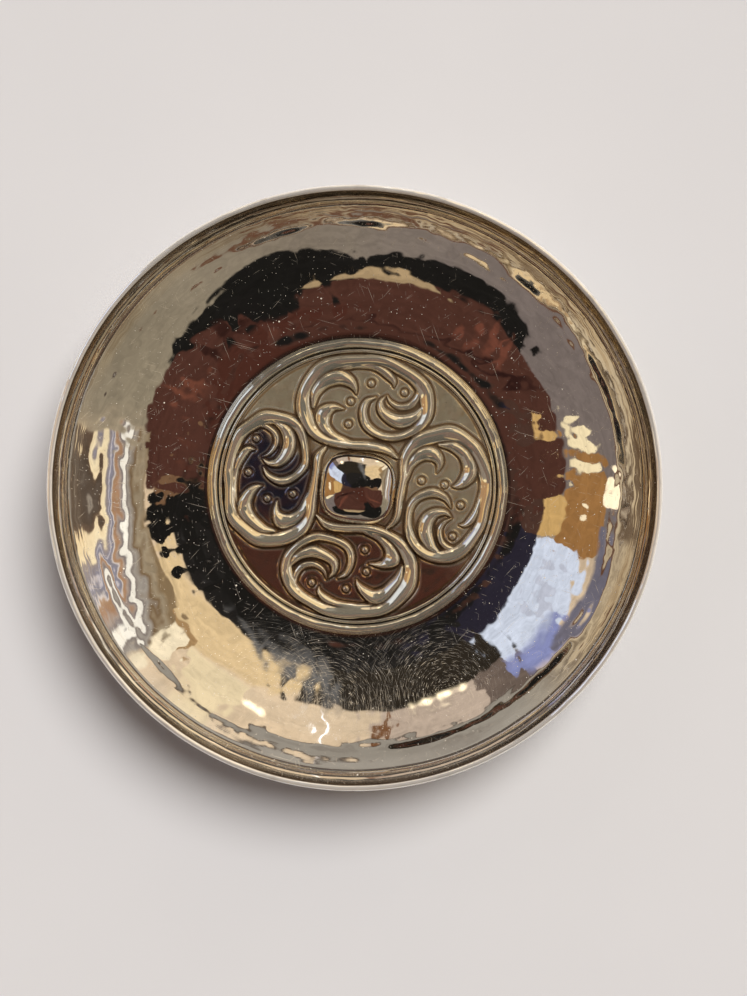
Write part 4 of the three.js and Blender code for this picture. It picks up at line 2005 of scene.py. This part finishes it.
@dataclass
class Studio:
    """Pale floor, soft light and the camera.

    Attributes:
        floor_half: half the width of the floor, in metres.
        eye: place of the camera, in millimetres, in the picture's axes.
        aim: point that it looks at.
        lens: focal length in millimetres for the sensor's long side.
        sensor: long side of the sensor, in millimetres.
        clip: nearest and farthest distances that the camera sees, in metres.
        sky_rise: how far the sky is turned up, because the eye stands above the middle.
        waver: how far the edges on the sky waver.
        horizon: distances on the flat sky between which the fine low streaks set in.
        bands_start: place to the right of the first of the upright bands.
        bands_width: width of all the bands.
        bands_lean: how much they lean outwards.
        lamp_place: where the lamp hangs, in millimetres, in the picture's axes.
        lamp_power: its strength.
        lamp_angle: its breadth, as an angle in radians.
        lamp_colour: its colour.
        backdrop: what the camera sees behind the dish.
    """

    floor_half: float = 3.0
    eye: Triple = (16.0, 12.0, 279.0)
    aim: Triple = (3.88, -1.30, 17.0)
    lens: float = 52.7
    sensor: float = 36.0
    clip: Pair = (0.01, 20.0)
    sky_rise: float = 0.030
    waver: float = 0.045
    horizon: Pair = (0.905, 0.912)
    bands_start: float = 0.37
    bands_width: float = 0.6
    bands_lean: float = 0.3
    lamp_place: Triple = (300.0, 420.0, 700.0)
    lamp_power: float = 3.4
    lamp_angle: float = 0.56
    lamp_colour: Triple = (1.0, 0.97, 0.93)
    backdrop: Colour = (0.74, 0.73, 0.71, 1.0)

    def turned(self, point: Triple) -> Vector:
        """Takes a point from the picture's axes to those of the dish."""
        return Matrix.Rotation(ORNAMENT_TURN, 3, "Z") @ Vector(point)

    def sky(self) -> None:
        """Lights the scene by the cards; the camera sees a plain pale backdrop."""
        world = bpy.data.worlds.new("studio")
        bpy.context.scene.world = world
        world.use_nodes = True
        graph = Graph(world.node_tree)
        aim = graph.add("ShaderNodeTexCoord").outputs["Generated"]
        spot = self.flat(graph, aim)
        across, up = spot.across, spot.up
        colour = self.backing(graph, aim, spot)
        for card in CARDS:
            colour = graph.mix(card.mask(across, up), colour, (*card.colour, 1.0))
        colour = graph.mix(BRIGHT_PART.mask(across, up), colour, self.bands(graph, across, up))
        mottle = graph.noise(aim, size=0.09, detail=5.0, rough=0.65) * 0.9 + 0.55
        out = (across * across + up * up).root()
        low = self.streaks(graph, across, up, out)
        colour = graph.mix(out.rise(*self.horizon), graph.scaled(colour, mottle), low)
        seen = graph.signal("ShaderNodeLightPath", "Is Camera Ray")
        colour = graph.mix(seen, colour, self.backdrop)
        light = graph.add("ShaderNodeBackground", None, {"Color": colour, "Strength": 1.0})
        graph.add("ShaderNodeOutputWorld", None, {0: light.outputs[0]})

    def flat(self, graph: Graph, aim: Socket) -> SkyPlace:
        """Lays the sky out flat: the distance from the middle is the angle from upright.

        Args:
            graph: graph of the world.
            aim: direction into the sky.

        Returns:
            Where the direction lies, moved a little by noise so that edges waver.
        """
        x, y, z = graph.parts(aim)
        c, s = math.cos(ORNAMENT_TURN), math.sin(ORNAMENT_TURN)
        right, high = x * c + y * s, y * c - x * s
        level = (right * right + high * high).root().largest(1e-4)
        spread = z.arc_cosine() * (2 / math.pi) / level
        sideways = graph.noise(aim, size=0.15, detail=4.0, rough=0.55) - 0.5
        upwards = graph.noise(aim, size=0.11, detail=4.0, rough=0.55) - 0.5
        return SkyPlace(
            across=right * spread + sideways * self.waver,
            up=high * spread + self.sky_rise + upwards * self.waver,
            side=right / level,
            top=high / level,
        )

    def backing(self, graph: Graph, aim: Socket, spot: SkyPlace) -> Socket:
        """Plain backing of the cards: warm and cloudy above in the picture, grey below.

        Args:
            graph: graph of the world.
            aim: direction into the sky.
            spot: where it lies on the flat sky.

        Returns:
            Socket of the colour.
        """
        cloud = graph.noise(aim, size=0.5, detail=3.0, rough=0.5)
        warm = graph.mix(cloud, (0.88, 0.66, 0.44, 1.0), (0.66, 0.54, 0.40, 1.0))
        dim, pale = (0.19, 0.155, 0.145, 1.0), (0.28, 0.235, 0.17, 1.0)
        grey = graph.mix(spot.side.rise(-0.8, 0.9), dim, pale)
        return graph.mix((spot.top + spot.side * 0.25).rise(-0.18, 0.22), grey, warm)

    def bands(self, graph: Graph, across: Signal, up: Signal) -> Socket:
        """Upright bands of many colours, which lean outwards above.

        Args:
            graph: graph of the world.
            across: place on the flat sky to the right.
            up: place upwards.

        Returns:
            Socket of the colour.
        """
        own = across - up.largest(0.1) * self.bands_lean
        place = (own - self.bands_start) / self.bands_width
        stops = [(at, (*colour, 1.0)) for at, colour in BANDS]
        return graph.add("ShaderNodeValToRGB", {"stops": stops}, {0: place}).outputs[0]

    def streaks(self, graph: Graph, across: Signal, up: Signal, out: Signal) -> Socket:
        """Level bands near the horizon: golden below and at the left, plain grey elsewhere.

        Args:
            graph: graph of the world.
            across: place on the flat sky to the right.
            up: place upwards.
            out: distance from its middle.

        Returns:
            Socket of their colour, with a dark line where they begin.
        """
        spot = graph.joined(across * 1.6, up * 1.6, out * 26.0)
        lines = graph.noise(spot, size=1.0, detail=3.0, rough=0.6)
        gold = graph.mix(lines.rise(0.42, 0.62), (0.16, 0.11, 0.07, 1.0), (0.62, 0.50, 0.34, 1.0))
        gold = graph.mix(out.rise(0.925, 0.915), gold, (0.13, 0.06, 0.035, 1.0))
        grey = graph.mix(lines.rise(0.3, 0.6), (0.24, 0.21, 0.18, 1.0), (0.34, 0.31, 0.27, 1.0))
        grey = graph.mix(out.rise(0.917, 0.912), grey, (0.07, 0.05, 0.04, 1.0))
        return graph.mix(((up + across * 0.8) / out).rise(-0.2, 0.3), gold, grey)

    def floor(self) -> None:
        """Lays a plain pale floor under the dish."""
        half = self.floor_half
        corners = [(-half, -half, 0), (half, -half, 0), (half, half, 0), (-half, half, 0)]
        mesh = bpy.data.meshes.new("studio_floor")
        mesh.from_pydata(corners, [], [(0, 1, 2, 3)])
        floor = bpy.data.objects.new("studio_floor", mesh)
        bpy.context.scene.collection.objects.link(floor)
        material = bpy.data.materials.new("pale_floor")
        material.use_nodes = True
        graph = Graph(material.node_tree)
        cloud = graph.noise(graph.place(), size=60.0, detail=3.0, rough=0.5)
        colour = graph.mix(cloud, (0.62, 0.63, 0.66, 1.0), (0.66, 0.67, 0.70, 1.0))
        graph.surface({"Base Color": colour, "Roughness": 0.8})
        mesh.materials.append(material)

    def lamp(self) -> None:
        """Hangs a far, soft lamp that lights the floor evenly and isn't mirrored by the dish."""
        light = bpy.data.lights.new("soft_lamp", "SUN")
        light.angle = self.lamp_angle
        light.energy = self.lamp_power
        light.color = self.lamp_colour
        lamp = bpy.data.objects.new("soft_lamp", light)
        lamp.location = self.turned(self.lamp_place) * METRES
        lamp.rotation_euler = (-lamp.location).to_track_quat("-Z", "Y").to_euler()
        lamp.visible_glossy = False
        lamp.visible_camera = False
        bpy.context.scene.collection.objects.link(lamp)

    def camera(self) -> None:
        """Stands the camera above the dish, level with the picture's sides."""
        lens = bpy.data.cameras.new("camera")
        lens.lens = self.lens
        lens.sensor_width = self.sensor
        lens.clip_start, lens.clip_end = self.clip
        camera = bpy.data.objects.new("camera", lens)
        eye, aim = self.turned(self.eye) * METRES, self.turned(self.aim) * METRES
        back = (eye - aim).normalized()
        right = self.turned((0.0, 1.0, 0.0)).cross(back).normalized()
        turn = Matrix((right, back.cross(right), back)).transposed()
        camera.matrix_world = Matrix.Translation(eye) @ turn.to_4x4()
        bpy.context.scene.collection.objects.link(camera)
        bpy.context.scene.camera = camera

    def build(self) -> None:
        """Sets up the whole studio."""
        self.camera()
        self.sky()
        self.floor()
        self.lamp()
        bpy.context.scene.view_settings.view_transform = "Standard"


RIM_WIRE = WireFinish(Slot.WIRE, (1.0, 0.98, 0.93, 1.0), gloss=0.05, wear=0.06, satin=0.34)
BORDER_WIRE = WireFinish(Slot.WIRE, (1.0, 0.95, 0.78, 1.0), gloss=0.04, wear=0.05, satin=0.09)


@dataclass
class TrinketDish:
    """The whole dish, piece by piece from the bowl to the boss.

    Attributes:
        pieces: its pieces, in the order in which they are built.
    """

    pieces: tuple[SilverPiece, ...] = field(
        default_factory=lambda: (
            HammeredBowl("hammered_bowl", "bowl", HammeredFinish(Slot.BOWL)),
            HalfRoundRing(
                "half_round_rim",
                "rim_wire",
                RIM_WIRE,
                inner_radius=53.75,
                width=1.25,
                low=17.65,
                height=0.75,
                # Painted shadow along the inner foot of the rim wire.
                films_and_shade=(0.0, 0.30),
            ),
            HalfRoundRing(
                "border_ridge",
                "border_outer_wire",
                BORDER_WIRE,
                inner_radius=26.48,
                width=2.20,
                low=0.8,
                height=1.68,
                lean=-0.2,
                fullness=0.9,
                # Painted shade at both feet of the border ridge.
                films_and_shade=(0.24, 0.22),
                beat=Unevenness(height=0.045, shortest=3.5, longest=9.0, seed=22),
            ),
            HalfRoundRing(
                "border_bead",
                "border_inner_wire",
                BORDER_WIRE,
                inner_radius=25.65,
                width=0.75,
                low=1.5,
                height=0.58,
                # Painted shade at both feet of the bead.
                films_and_shade=(0.28, 0.28),
                beat=Unevenness(height=0.03, shortest=2.5, longest=7.0, seed=23),
            ),
            ChasedMedallion(
                "chased_medallion",
                "medallion_plate",
                ChasedFinish(Slot.DISC, gloss=0.035, wear=0.02),
            ),
            DomedBoss("domed_boss", "centre_boss", BossFinish(Slot.BOSS, gloss=0.03)),
        )
    )

    def build(self) -> None:
        """Makes every piece in order."""
        for piece in self.pieces:
            piece.make()


def main() -> None:
    """Builds the studio and the dish."""
    logging.basicConfig(level=logging.INFO, format="%(name)s: %(message)s")
    Studio().build()
    TrinketDish().build()


if __name__ == "__main__":
    main()
